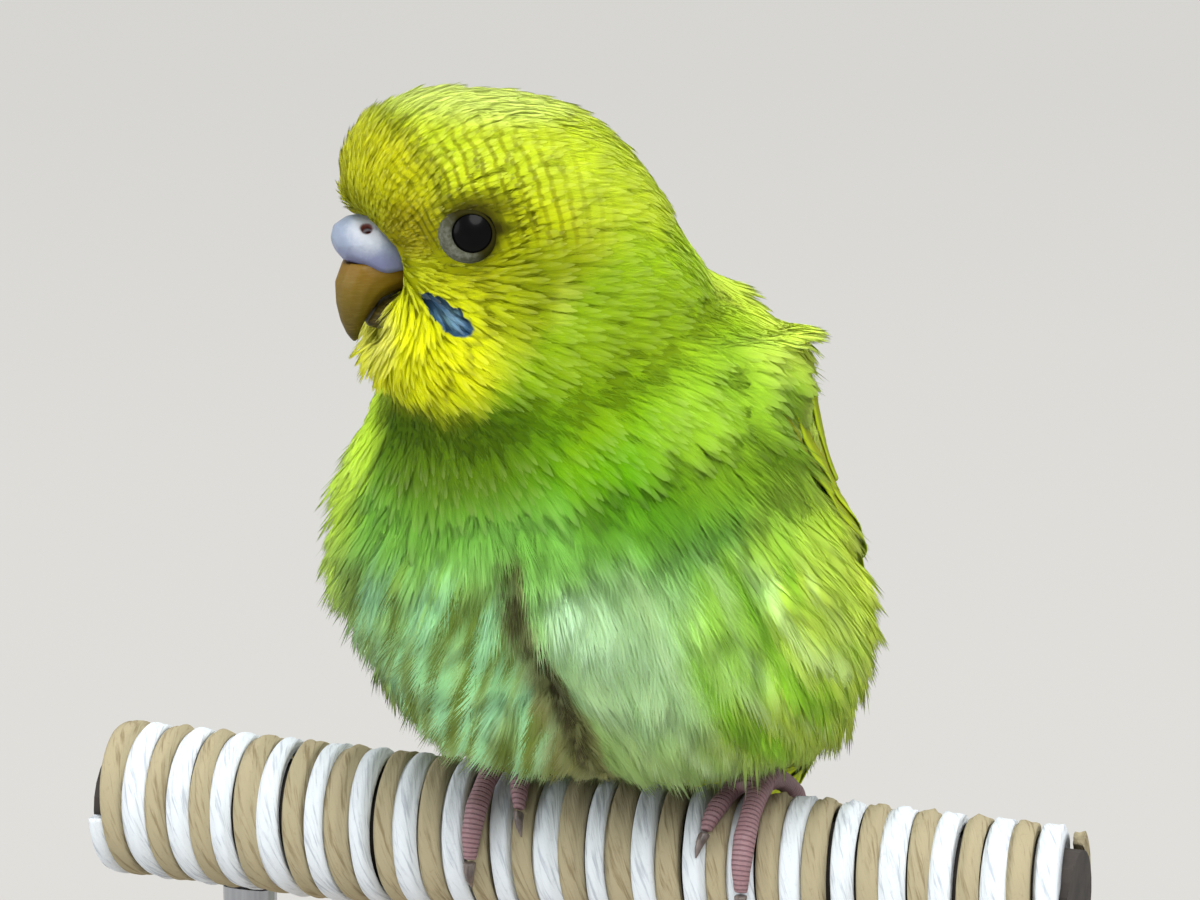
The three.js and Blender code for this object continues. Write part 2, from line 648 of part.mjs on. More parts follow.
// A flat paper cord wound round the bar: start is its place along one pitch, from 0 to 1.
function cordSolid(start) {
  const first = (start - 0.5 - CORD.turns / 2) * CORD.pitch;
  const steps = CORD.turns * CORD.turnSteps;
  const rings = [];
  for (let k = 0; k <= steps; k++) {
    const angle = (k / CORD.turnSteps) * TURN;
    const x = first + (k / CORD.turnSteps) * CORD.pitch;
    rings.push([
      barPoint(x - CORD.width / 2, CORD.inside, angle),
      barPoint(x + CORD.width / 2, CORD.inside, angle),
      barPoint(x + CORD.top / 2, BAR_RADIUS, angle),
      barPoint(x - CORD.top / 2, BAR_RADIUS, angle),
    ]);
  }
  // The windings run past both ends of the bar and are cut off just short of them
  const reach = BAR_LENGTH / 2 - CORD.end;
  return largest(solidOf(skinOver(rings)).trimByPlane([1, 0, 0], -reach).trimByPlane([-1, 0, 0], -reach));
}

// Stand, in the frame of the whole part

const BASE = { radius: 56, height: 9, edge: 1.5, sides: 36 };
const ROD = { radius: 3, apart: 39, sides: 16 };

function baseGeometry() {
  const { radius, height, edge, sides } = BASE;
  const lower = [[0, 0], [radius - edge / 2, 0], [radius, edge / 2]];
  const upper = [[radius, height - edge], [radius - edge, height], [0, height]];
  const profile = [...lower, ...upper].map(([r, z]) => new THREE.Vector2(r, z));
  return new THREE.LatheGeometry(profile, sides).rotateX(Math.PI / 2);
}

function rodSolid(side) {
  const low = BASE.height + GAP;
  const high = BAR_MIDDLE.z;
  const rod = new THREE.CylinderGeometry(ROD.radius, ROD.radius, high - low, ROD.sides).rotateX(Math.PI / 2);
  rod.translate(BAR_MIDDLE.x + side * ROD.apart, BAR_MIDDLE.y, (low + high) / 2);
  const bar = barSolid(BAR_RADIUS + GAP).translate([BAR_MIDDLE.x, BAR_MIDDLE.y, BAR_MIDDLE.z]);
  return largest(solidOf(rod).subtract(bar));
}

// Assembly

const COLOURS = {
  head: 0xc3cf1e,
  neck: 0x8fc024,
  torso: 0x76b834,
  wing: 0xb4cc2e,
  tail: 0xc9d24a,
  cere: 0xc3c6e0,
  upper_bill: 0xb08a3c,
  lower_bill: 0x8f7a3a,
  eye: 0x0b0d12,
  skin: 0xb98a94,
  claw: 0x7a6468,
  core: 0x2a2724,
  white_cord: 0xe9eeef,
  tan_cord: 0xc2a878,
  base: 0x8a6f4e,
  rod: 0x9a9c9e,
};

function named(name, geometry, color, roughness = 0.8, metalness = 0) {
  const mesh = new THREE.Mesh(geometry, new THREE.MeshStandardMaterial({ color, roughness, metalness }));
  mesh.name = name;
  return mesh;
}

const CUT_SLOPE = { x: 0.12, y: 0.28 }; // the cuts across the neck rise to the left and to the back
const THROAT_HEIGHT = 50.5;
const NAPE_HEIGHT = 58.5;

// Plane z = height + slope.x * x + slope.y * y, as a normal that points up and its offset.
function cutPlane(height) {
  const normal = vec(-CUT_SLOPE.x, -CUT_SLOPE.y, 1);
  const length = normal.length();
  return { normal: normal.divideScalar(length), offset: height / length };
}

// The part of a solid between two planes, above the first and below the second.
function between(solid, low, high) {
  let kept = solid;
  if (low) kept = kept.trimByPlane(low.normal.toArray(), low.offset + GAP / 2);
  if (high) kept = kept.trimByPlane(high.normal.clone().negate().toArray(), -high.offset + GAP / 2);
  return largest(kept);
}

function makeBird() {
  const bird = new THREE.Group();
  const trunk = trunkSolid();
  const rump = { normal: tailAlong, offset: TAIL_CUT };
  const flesh = trunk.add(headSolid()).subtract(barSolid(BELLY_CUT, CUT_SIDES));
  const throat = cutPlane(THROAT_HEIGHT);
  const nape = cutPlane(NAPE_HEIGHT);

  const sockets = [-1, 1].map((side) => ball(eyePlace(side).middle, EYE.radius + GAP));
  const bill = [UPPER_BILL, LOWER_BILL, CERE].map((stations) => billTube(stations, GAP));
  const lids = [-1, 1].map(lidMound);
  const headOnly = between(flesh, nape, null);
  const head = largest(joined([headOnly, ...lids]).subtract(joined([...bill, ...sockets])));
  const upper = billTube(UPPER_BILL).subtract(billTube(CERE, GAP));
  const lower = billTube(LOWER_BILL).subtract(billTube(UPPER_BILL, GAP));
  const cere = billTube(CERE).subtract(joined([-1, 1].map(nostrilCut)));

  bird.add(named("head", geometryOf(head), COLOURS.head));
  bird.add(named("cere", geometryOf(largest(cere)), COLOURS.cere, 0.55));
  bird.add(named("upper_bill", geometryOf(largest(upper)), COLOURS.upper_bill, 0.4));
  bird.add(named("lower_bill", geometryOf(largest(lower)), COLOURS.lower_bill, 0.45));
  bird.add(named("neck", geometryOf(between(flesh, throat, nape)), COLOURS.neck));
  const torso = between(between(flesh, null, throat), null, rump);
  bird.add(named("torso", geometryOf(torso), COLOURS.torso));
  bird.add(named("tail", geometryOf(tailSolid(trunk)), COLOURS.tail));

  const sides = { left: 1, right: -1 };
  const envelope = barSolid(BELLY_CUT - GAP, CUT_SIDES);
  const underWing = trunkSolid(GAP).add(headSolid());
  for (const [word, side] of Object.entries(sides)) {
    bird.add(named(`eye_${word}`, geometryOf(ball(eyePlace(side).middle, EYE.radius)), COLOURS.eye, 0.05));
    bird.add(named(`wing_${word}`, geometryOf(wingSolid(side, underWing)), COLOURS.wing));
    bird.add(named(`foot_${word}`, geometryOf(footSolid(side, envelope)), COLOURS.skin, 0.7));
    for (const [toe, sizes] of Object.entries(TOES)) {
      bird.add(named(`claw_${word}_${toe}`, geometryOf(clawSolid(side, sizes)), COLOURS.claw, 0.4));
    }
  }
  return bird;
}

function makeBar() {
  const bar = new THREE.Group();
  bar.add(named("perch_core", geometryOf(barSolid(CORE_RADIUS, CORE_SIDES)), COLOURS.core));
  bar.add(named("perch_cord_white", geometryOf(cordSolid(0.25)), COLOURS.white_cord, 0.85));
  bar.add(named("perch_cord_tan", geometryOf(cordSolid(0.75)), COLOURS.tan_cord, 0.85));
  return bar;
}

function makeStand() {
  const stand = new THREE.Group();
  stand.add(named("stand_base", baseGeometry(), COLOURS.base, 0.5));
  stand.add(named("stand_rod_left", geometryOf(rodSolid(1)), COLOURS.rod, 0.35, 1));
  stand.add(named("stand_rod_right", geometryOf(rodSolid(-1)), COLOURS.rod, 0.35, 1));
  return stand;
}

const part = new THREE.Group();
const bird = makeBird();
const bar = makeBar();
bird.position.set(0, BAR_MIDDLE.y, BAR_MIDDLE.z);
bar.position.set(BAR_MIDDLE.x, BAR_MIDDLE.y, BAR_MIDDLE.z);
part.add(bird, bar, makeStand());

export default part;
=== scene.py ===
"""Looks of a life-size budgerigar that grips a cord-wound bar on a plain display stand.

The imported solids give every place. The bird's own lengths are in millimetres from the middle of its grip on the
bar, with the breast towards -Y and the bird's left towards +X, and are turned to metres when a mesh is made.
"""

import json
import logging
import math
from dataclasses import dataclass, field
from enum import Enum
from typing import Callable, Sequence

import bmesh
import bpy
import numpy as np
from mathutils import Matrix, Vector
from mathutils.bvhtree import BVHTree

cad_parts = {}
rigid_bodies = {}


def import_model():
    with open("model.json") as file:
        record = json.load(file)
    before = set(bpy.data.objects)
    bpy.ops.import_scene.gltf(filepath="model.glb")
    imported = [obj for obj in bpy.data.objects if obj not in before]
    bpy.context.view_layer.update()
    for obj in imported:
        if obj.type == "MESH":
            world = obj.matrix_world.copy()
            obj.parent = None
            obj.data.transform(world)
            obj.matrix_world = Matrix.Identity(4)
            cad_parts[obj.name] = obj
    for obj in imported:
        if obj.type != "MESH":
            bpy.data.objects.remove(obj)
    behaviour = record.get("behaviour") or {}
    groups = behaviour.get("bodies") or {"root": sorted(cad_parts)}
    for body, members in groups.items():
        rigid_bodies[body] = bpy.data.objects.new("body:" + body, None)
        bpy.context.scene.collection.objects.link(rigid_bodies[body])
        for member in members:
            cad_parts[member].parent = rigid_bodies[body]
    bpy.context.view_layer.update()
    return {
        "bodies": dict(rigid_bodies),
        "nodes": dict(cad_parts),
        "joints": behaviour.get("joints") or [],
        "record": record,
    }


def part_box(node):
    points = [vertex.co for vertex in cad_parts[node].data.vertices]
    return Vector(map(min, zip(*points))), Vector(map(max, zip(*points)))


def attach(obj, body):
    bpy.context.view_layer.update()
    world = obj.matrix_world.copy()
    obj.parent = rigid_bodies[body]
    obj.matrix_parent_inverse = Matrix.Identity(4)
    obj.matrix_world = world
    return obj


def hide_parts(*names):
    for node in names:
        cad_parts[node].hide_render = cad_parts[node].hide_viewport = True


MM = 0.001
BODY = "root"
BAKE_MAP = "OFBake"
BAKE_PATCH = 0.003
LOG = logging.getLogger("budgerigar")

Array = np.ndarray
Colour = tuple[float, float, float, float]


# Small helpers


def tone(red: float, green: float, blue: float) -> Colour:
    """Linear colour of a screen colour that is given from 0 to 255."""
    def linear(value: float) -> float:
        share = value / 255
        return share / 12.92 if share <= 0.04045 else ((share + 0.055) / 1.055) ** 2.4
    return (linear(red), linear(green), linear(blue), 1.0)


def smooth(value: Array, low: float, high: float) -> Array:
    """Soft step from 0 at low to 1 at high."""
    share = np.clip((value - low) / (high - low), 0, 1)
    return share * share * (3 - 2 * share)


def lerp(first: Array | float, last: Array | float, share: Array | float) -> Array | float:
    """Value at a share of the way from first to last."""
    return first + (last - first) * share


def unit(vectors: Array) -> Array:
    """Vectors along the last axis, each brought to length 1."""
    return vectors / np.maximum(np.linalg.norm(vectors, axis=-1, keepdims=True), 1e-9)


def box_middle(node: str) -> Array:
    """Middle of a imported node's box, in millimetres of the part."""
    low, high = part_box(node)
    return np.array((low + high) / 2) / MM


# Space: where the bird is


@dataclass
class Space:
    """Places and directions of the bird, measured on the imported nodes."""

    eye_ahead: float = 6.2  # eyes ahead of the middle of the head
    eye_turn: float = 21.0  # degrees ahead of straight aside
    eye_drop: float = 7.0  # degrees below level
    eye_opening_radius: float = 1.92
    bill_ahead: float = 14.5
    bill_height: float = 66.5
    parting_top: tuple[float, float] = (0.3, 41.0)  # left and height of the furrow's upper end
    parting_slope: float = 0.26
    parting_run: float = 19.0  # how far down from its upper end the furrow slants
    grip: Array = field(init=False)
    left: Array = field(init=False)
    ahead: Array = field(init=False)
    head: Array = field(init=False)
    eye_radius: float = field(init=False)

    def __post_init__(self) -> None:
        """Reads the bar's axis and the line between the eyes."""
        bar = box_middle("perch_core")
        self.grip = np.array([0.0, bar[1], bar[2]])
        left_eye = box_middle("eye_left") - self.grip
        right_eye = box_middle("eye_right") - self.grip
        self.left = unit((left_eye - right_eye) * np.array([1, 1, 0]))
        self.ahead = np.array([self.left[1], -self.left[0], 0.0])
        self.head = (left_eye + right_eye) / 2 - self.ahead * self.eye_ahead
        self.head[2] = 0
        low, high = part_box("eye_left")
        self.eye_radius = (high.z - low.z) / 2 / MM

    def at_head(self, ahead: float, left: float, height: float) -> Array:
        """Place given by its distance ahead, to the left and up in the turned head."""
        return self.head + self.ahead * ahead + self.left * left + np.array([0, 0, height])

    def eye_way(self, side: int) -> Array:
        """Direction in which an eye looks out, a little ahead of straight aside."""
        turn = math.radians(self.eye_turn)
        drop = math.radians(self.eye_drop)
        level = self.left * side * math.cos(turn) + self.ahead * math.sin(turn)
        return level * math.cos(drop) - np.array([0, 0, math.sin(drop)])

    def eye_middle(self, side: int) -> Array:
        """Middle of an eyeball."""
        return box_middle("eye_left" if side > 0 else "eye_right") - self.grip

    def eye_opening(self, side: int) -> Array:
        """Middle of the opening between the lids."""
        level = math.sqrt(self.eye_radius ** 2 - self.eye_opening_radius ** 2)
        return self.eye_middle(side) + self.eye_way(side) * level

    def parting(self, height: Array | float) -> Array | float:
        """How far to the left the furrow of the belly runs at a height."""
        down = np.minimum(self.parting_top[1] - height, self.parting_run)
        return self.parting_top[0] + down * self.parting_slope

    def bill(self) -> Array:
        """Root of the bill, from which the head's feathers run out."""
        return self.at_head(self.bill_ahead, 0, self.bill_height)

    def metres(self, points: Array) -> Array:
        """Points of the bird as places of the part in metres."""
        return (np.asarray(points, float) + self.grip) * MM

    def bird(self, points: Array) -> Array:
        """Places of the part in metres as points of the bird."""
        return np.asarray(points, float) / MM - self.grip


# Meshes


def link(mesh: bpy.types.Mesh, name: str) -> bpy.types.Object:
    """New object at the origin that shows a mesh."""
    piece = bpy.data.objects.new(name, mesh)
    bpy.context.scene.collection.objects.link(piece)
    return piece


def make_mesh(name: str, points: Array, faces: Sequence, material: bpy.types.Material | None = None,
              is_smooth: bool = True) -> bpy.types.Object:
    """Builds an object from points in metres.

    Args:
        name: Name of the object and its mesh.
        points: Corners, one row each, in metres.
        faces: Corner numbers of each face.
        material: Finish of the whole mesh.
        is_smooth: Whether faces are shaded smoothly.
    Returns:
        The object, linked to the scene.
    """
    mesh = bpy.data.meshes.new(name)
    mesh.from_pydata([tuple(p) for p in np.asarray(points, float)], [], [tuple(map(int, f)) for f in faces])
    mesh.polygons.foreach_set("use_smooth", [is_smooth] * len(mesh.polygons))
    if material:
        mesh.materials.append(material)
    mesh.update()
    return link(mesh, name)


def grid_faces(rows: int, columns: int, is_round: bool = False, start: int = 0) -> list[tuple[int, ...]]:
    """Faces of a sheet of corners that are numbered row by row.

    Args:
        rows: Rows of corners.
        columns: Corners in a row.
        is_round: Whether the last corner of a row meets its first.
        start: Number of the first corner.
    Returns:
        Corner numbers of each face.
    """
    faces = []
    for r in range(rows - 1):
        for c in range(columns if is_round else columns - 1):
            d = (c + 1) % columns
            low = start + r * columns
            faces.append((low + c, low + d, low + columns + d, low + columns + c))
    return faces


def corners(mesh: bpy.types.Mesh) -> Array:
    """Corners of a mesh, one row each."""
    flat = np.empty(len(mesh.vertices) * 3)
    mesh.vertices.foreach_get("co", flat)
    return flat.reshape(-1, 3)


def normals(mesh: bpy.types.Mesh) -> Array:
    """Directions in which the corners of a mesh face."""
    flat = np.empty(len(mesh.vertices) * 3)
    mesh.vertices.foreach_get("normal", flat)
    return flat.reshape(-1, 3)


def place_corners(mesh: bpy.types.Mesh, points: Array) -> None:
    """Moves the corners of a mesh to new points."""
    mesh.vertices.foreach_set("co", np.ascontiguousarray(points, float).ravel())
    mesh.update()


def store(mesh: bpy.types.Mesh, name: str, kind: str, domain: str, values: Array) -> None:
    """Writes values on a mesh as a named attribute."""
    attribute = mesh.attributes.new(name, kind, domain)
    slot = {"FLOAT_VECTOR": "vector", "FLOAT2": "vector"}.get(kind, "value")
    attribute.data.foreach_set(slot, np.ascontiguousarray(values).ravel())


def settled(piece: bpy.types.Object, name: str) -> bpy.types.Object:
    """Turns an object with modifiers into a plain one of its own and removes the old one."""
    bpy.context.view_layer.update()
    graph = bpy.context.evaluated_depsgraph_get()
    mesh = bpy.data.meshes.new_from_object(piece.evaluated_get(graph), preserve_all_data_layers=True, depsgraph=graph)
    mesh.name = name
    old = piece.data
    bpy.data.objects.remove(piece)
    if old.users == 0:
        bpy.data.meshes.remove(old)
    return link(mesh, name)


def rounded(frame: dict, nodes: Sequence[str], name: str, voxel: float, passes: int) -> bpy.types.Object:
    """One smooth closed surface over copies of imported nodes.

    Args:
        nodes: Names of the nodes that are taken together.
        name: Name of the new object.
        voxel: Fineness of the surface in millimetres.
        passes: How often the surface is smoothed.
    Returns:
        The new object.
    """
    merged = bmesh.new()
    for node in nodes:
        merged.from_mesh(frame["nodes"][node].data)
    bmesh.ops.remove_doubles(merged, verts=merged.verts, dist=0.00001)
    mesh = bpy.data.meshes.new(name)
    merged.to_mesh(mesh)
    merged.free()
    piece = link(mesh, name)
    remesh = piece.modifiers.new("even", "REMESH")
    remesh.mode = "VOXEL"
    remesh.voxel_size = voxel * MM
    remesh.use_smooth_shade = True
    relax = piece.modifiers.new("relax", "SMOOTH")
    relax.factor = 0.5
    relax.iterations = passes
    piece = settled(piece, name)
    piece.data.materials.clear()
    return piece


def unwrap(piece: bpy.types.Object) -> None:
    """Gives a piece the map that its finish is baked on, unwrapped by its own shape."""
    piece.data.uv_layers.new(name=BAKE_MAP)
    bpy.ops.object.select_all(action="DESELECT")
    piece.select_set(True)
    bpy.context.view_layer.objects.active = piece
    bpy.ops.object.mode_set(mode="EDIT")
    bpy.ops.mesh.select_all(action="SELECT")
    bpy.ops.uv.smart_project(angle_limit=math.radians(66), island_margin=0.003)
    bpy.ops.object.mode_set(mode="OBJECT")


# Node trees


class Wire:
    """An output of a node that takes part in arithmetic as a number does."""

    def __init__(self, board: "Board", socket: bpy.types.NodeSocket) -> None:
        """Remembers the tree and the socket."""
        self.board = board
        self.socket = socket

    def _math(self, operation: str, first: "Wire | float", second: "Wire | float") -> "Wire":
        """Math node of two values."""
        kind = "ShaderNodeMath"
        return self.board.add(kind, {"operation": operation}, {0: first, 1: second})

    def __add__(self, other: "Wire | float") -> "Wire":
        """Sum."""
        return self._math("ADD", self, other)

    def __radd__(self, other: float) -> "Wire":
        """Sum with a number first."""
        return self._math("ADD", other, self)

    def __sub__(self, other: "Wire | float") -> "Wire":
        """Difference."""
        return self._math("SUBTRACT", self, other)

    def __rsub__(self, other: float) -> "Wire":
        """Difference with a number first."""
        return self._math("SUBTRACT", other, self)

    def __mul__(self, other: "Wire | float") -> "Wire":
        """Product."""
        return self._math("MULTIPLY", self, other)

    def __rmul__(self, other: float) -> "Wire":
        """Product with a number first."""
        return self._math("MULTIPLY", other, self)

    def __truediv__(self, other: "Wire | float") -> "Wire":
        """Quotient."""
        return self._math("DIVIDE", self, other)

    def __rtruediv__(self, other: float) -> "Wire":
        """Quotient with a number first."""
        return self._math("DIVIDE", other, self)

    def __pow__(self, other: "Wire | float") -> "Wire":
        """Power."""
        return self._math("POWER", self, other)

    def sine(self) -> "Wire":
        """Sine of an angle in radians."""
        return self._math("SINE", self, 0.0)

    def size(self) -> "Wire":
        """Value without its sign."""
        return self._math("ABSOLUTE", self, 0.0)

    def step(self, low: float, high: float) -> "Wire":
        """Soft step from 0 at low to 1 at high, or back where low is the greater."""
        inputs = {"Value": self, "From Min": low, "From Max": high}
        return self.board.add("ShaderNodeMapRange", {"interpolation_type": "SMOOTHSTEP"}, inputs)


class Board:
    """A node tree that is being wired, of a material or of Geometry Nodes."""

    def __init__(self, tree: bpy.types.NodeTree) -> None:
        """Starts from an empty tree."""
        self.tree = tree
        tree.nodes.clear()

    def add(self, kind: str, settings: dict | None = None, inputs: dict | None = None,
            output: int | str = 0) -> Wire:
        """Adds one node.

        Args:
            kind: Blender's name of the node.
            settings: Its options, which are set first; stops fills a colour ramp.
            inputs: Values or wires of its sockets, by name or number.
            output: Name or number of the output that is wanted.
        Returns:
            That output.
        """
        node = self.tree.nodes.new(kind)
        for key, value in (settings or {}).items():
            if key == "stops":
                self._fill_ramp(node.color_ramp, value)
            else:
                setattr(node, key, value)
        for key, value in (inputs or {}).items():
            if isinstance(value, Wire):
                self.tree.links.new(value.socket, node.inputs[key])
            else:
                node.inputs[key].default_value = value
        return Wire(self, node.outputs[output]) if len(node.outputs) else Wire(self, None)

    @staticmethod
    def _fill_ramp(ramp: bpy.types.ColorRamp, stops: Sequence[tuple[float, Colour]]) -> None:
        """Sets the stops of a colour ramp."""
        while len(ramp.elements) < len(stops):
            ramp.elements.new(0.5)
        for element, (place, colour) in zip(ramp.elements, stops):
            element.position = place
            element.color = colour

    def output_of(self, wire: Wire, output: int | str) -> Wire:
        """Another output of the node that a wire comes from."""
        return Wire(self, wire.socket.node.outputs[output])

    def vector(self, operation: str, first: Wire | tuple, second: Wire | tuple = (0, 0, 0)) -> Wire:
        """Vector Math node of two vectors."""
        settings = {"operation": operation}
        if operation == "SCALE":
            return self.add("ShaderNodeVectorMath", settings, {0: first, "Scale": second})
        is_number = operation in ("DOT_PRODUCT", "DISTANCE", "LENGTH")
        return self.add("ShaderNodeVectorMath", settings, {0: first, 1: second}, "Value" if is_number else 0)

    def mix(self, share: Wire | float, first: Wire | Colour, second: Wire | Colour, blend: str = "MIX") -> Wire:
        """Mixes two colours by a share of the second."""
        settings = {"data_type": "RGBA", "blend_type": blend}
        return self.add("ShaderNodeMix", settings, {0: share, 6: first, 7: second}, 2)

    def noise(self, place: Wire, scale: float, detail: float = 2.0, roughness: float = 0.5) -> Wire:
        """Soft noise from 0 to 1."""
        inputs = {"Vector": place, "Scale": scale, "Detail": detail, "Roughness": roughness}
        return self.add("ShaderNodeTexNoise", {}, inputs)

    def stretched(self, place: Wire, scale: tuple[float, float, float]) -> Wire:
        """Coordinates with each axis scaled by its own number."""
        return self.vector("MULTIPLY", place, scale)

    def attribute(self, name: str, output: str = "Vector") -> Wire:
        """Named attribute of the mesh."""
        return self.add("ShaderNodeAttribute", {"attribute_name": name}, {}, output)

    def here(self) -> Wire:
        """Object coordinates."""
        return self.add("ShaderNodeTexCoord", {}, {}, "Object")

    def bump(self, height: Wire, strength: float, distance: float, normal: Wire | None = None) -> Wire:
        """Bump of a height, with its greatest depth in metres."""
        inputs = {"Height": height, "Strength": strength, "Distance": distance}
        if normal:
            inputs["Normal"] = normal
        return self.add("ShaderNodeBump", {}, inputs)

    def surface(self, base: Wire | Colour, roughness: Wire | float, normal: Wire | None = None,
                **constants: float | Colour) -> None:
        """Ends a material in a Principled shader.

        Args:
            base: Colour.
            roughness: Roughness.
            normal: Direction that the surface is shaded by.
            **constants: Other sockets, which stay the same all over; an underscore stands for a space.
        """
        inputs = {"Base Color": base, "Roughness": roughness}
        inputs.update({name.replace("_", " "): value for name, value in constants.items()})
        if normal:
            inputs["Normal"] = normal
        shader = self.add("ShaderNodeBsdfPrincipled", {"subsurface_method": "BURLEY"}, inputs)
        self.add("ShaderNodeOutputMaterial", {}, {"Surface": shader})


def new_material(name: str) -> tuple[bpy.types.Material, Board]:
    """Empty material and the board of its tree."""
    material = bpy.data.materials.new(name)
    material.use_nodes = True
    return material, Board(material.node_tree)


# Finishes of the plumage


@dataclass(frozen=True)
class Wash:
    """Soft patch of colour, placed by a distance across and a height in millimetres."""

    colour: Colour
    across: float
    height: float
    wide: float
    tall: float
    strength: float

    def over(self, board: Board, colour: Wire, across: Wire, height: Wire, mask: Wire | float = 1.0) -> Wire:
        """Lays the patch over a colour."""
        x = (across - self.across) * (1 / self.wide)
        z = (height - self.height) * (1 / self.tall)
        return board.mix((x * x + z * z).step(1.7, 0.0) * self.strength * mask, colour, self.colour)


class BodyArea(Enum):
    """Areas of the body's front, placed by how far to the left and how high they lie."""

    LEFT_LOBE = Wash(tone(96, 150, 40), -13, 42, 8, 5, 0.6)
    # Painted shadow of the head on the breast under the bib.
    UNDER_BIB = Wash(tone(68, 92, 2), -9, 49, 11, 6, 0.9)
    YELLOWISH = Wash(tone(112, 144, 8), 6.7, 50, 3, 6, 0.5)
    VIVID = Wash(tone(82, 140, 4), 11, 46, 7, 5, 0.7)
    UPPER_SIDE = Wash(tone(128, 166, 40), 19, 53, 8, 8, 0.9)
    MINT_LOBE = Wash(tone(180, 218, 172), 11, 31, 7.5, 8, 0.85)
    PALE_FOLD = Wash(tone(190, 224, 196), 7.5, 34.5, 3.2, 3.2, 0.6)
    LIME_SIDE = Wash(tone(150, 198, 36), 21, 32, 5, 9, 0.65)
    FLANK = Wash(tone(184, 208, 64), 28, 36, 6, 13, 0.85)
    LOW_FLANK = Wash(tone(166, 190, 24), 25, 21, 7, 6, 0.75)
    # Painted shade on the belly feathers just over the foot.
    OVER_FOOT = Wash(tone(104, 98, 66), 21.6, 13, 7, 2.6, 0.6)
    # Lighter left edge: partly its own colour, partly painted light against the shade on that side.
    LEFT_EDGE = Wash(tone(192, 222, 60), -24, 42, 6, 13, 0.8)
    # Painted light that lifts the shade in the fold between breast and flank.
    FOLD = Wash(tone(176, 214, 66), 22.5, 43, 4, 5, 0.6)
    # Painted light on the shoulder at the wing's edge.
    SHOULDER = Wash(tone(206, 230, 88), 23, 61, 6, 6, 0.8)


class HeadArea(Enum):
    """Areas of the head, placed by how far ahead and how high they lie."""

    FACE = Wash(tone(188, 194, 0), 7, 68, 11, 8, 0.9)
    FOREHEAD = Wash(tone(174, 172, 0), 15, 76, 5, 5, 0.8)
    BESIDE_BILL = Wash(tone(156, 144, 0), 12, 70.6, 2.6, 3.2, 0.8)
    # Painted shadow of the brow feathers over the eye.
    BROW = Wash(tone(88, 84, 0), 6.6, 73.6, 3.8, 1.5, 0.8)
    # Painted shade in the corner behind the eye.
    EYE_CORNER = Wash(tone(34, 34, 2), 4.8, 71.7, 2.0, 0.75, 0.97)
    BELOW_EYE = Wash(tone(182, 186, 0), 6, 67.2, 4, 2.2, 0.6)
    CHEEK_BACK = Wash(tone(122, 140, 8), -1, 64.5, 6, 6.5, 0.85)
    EAR = Wash(tone(186, 198, 78), -1.4, 62.6, 1.4, 3.6, 0.55)
    NAPE = Wash(tone(158, 176, 34), -11, 74, 8, 8, 0.8)
    # Paler top of the crown: partly its own colour, partly a painted highlight from above.
    TOP = Wash(tone(184, 200, 104), 3, 84, 14, 3.2, 0.8)
    BIB = Wash(tone(214, 216, 0), 11.5, 57, 6.6, 7.5, 0.95)
    CHIN = Wash(tone(190, 188, 104), 13.4, 60.4, 1.3, 4, 0.6)


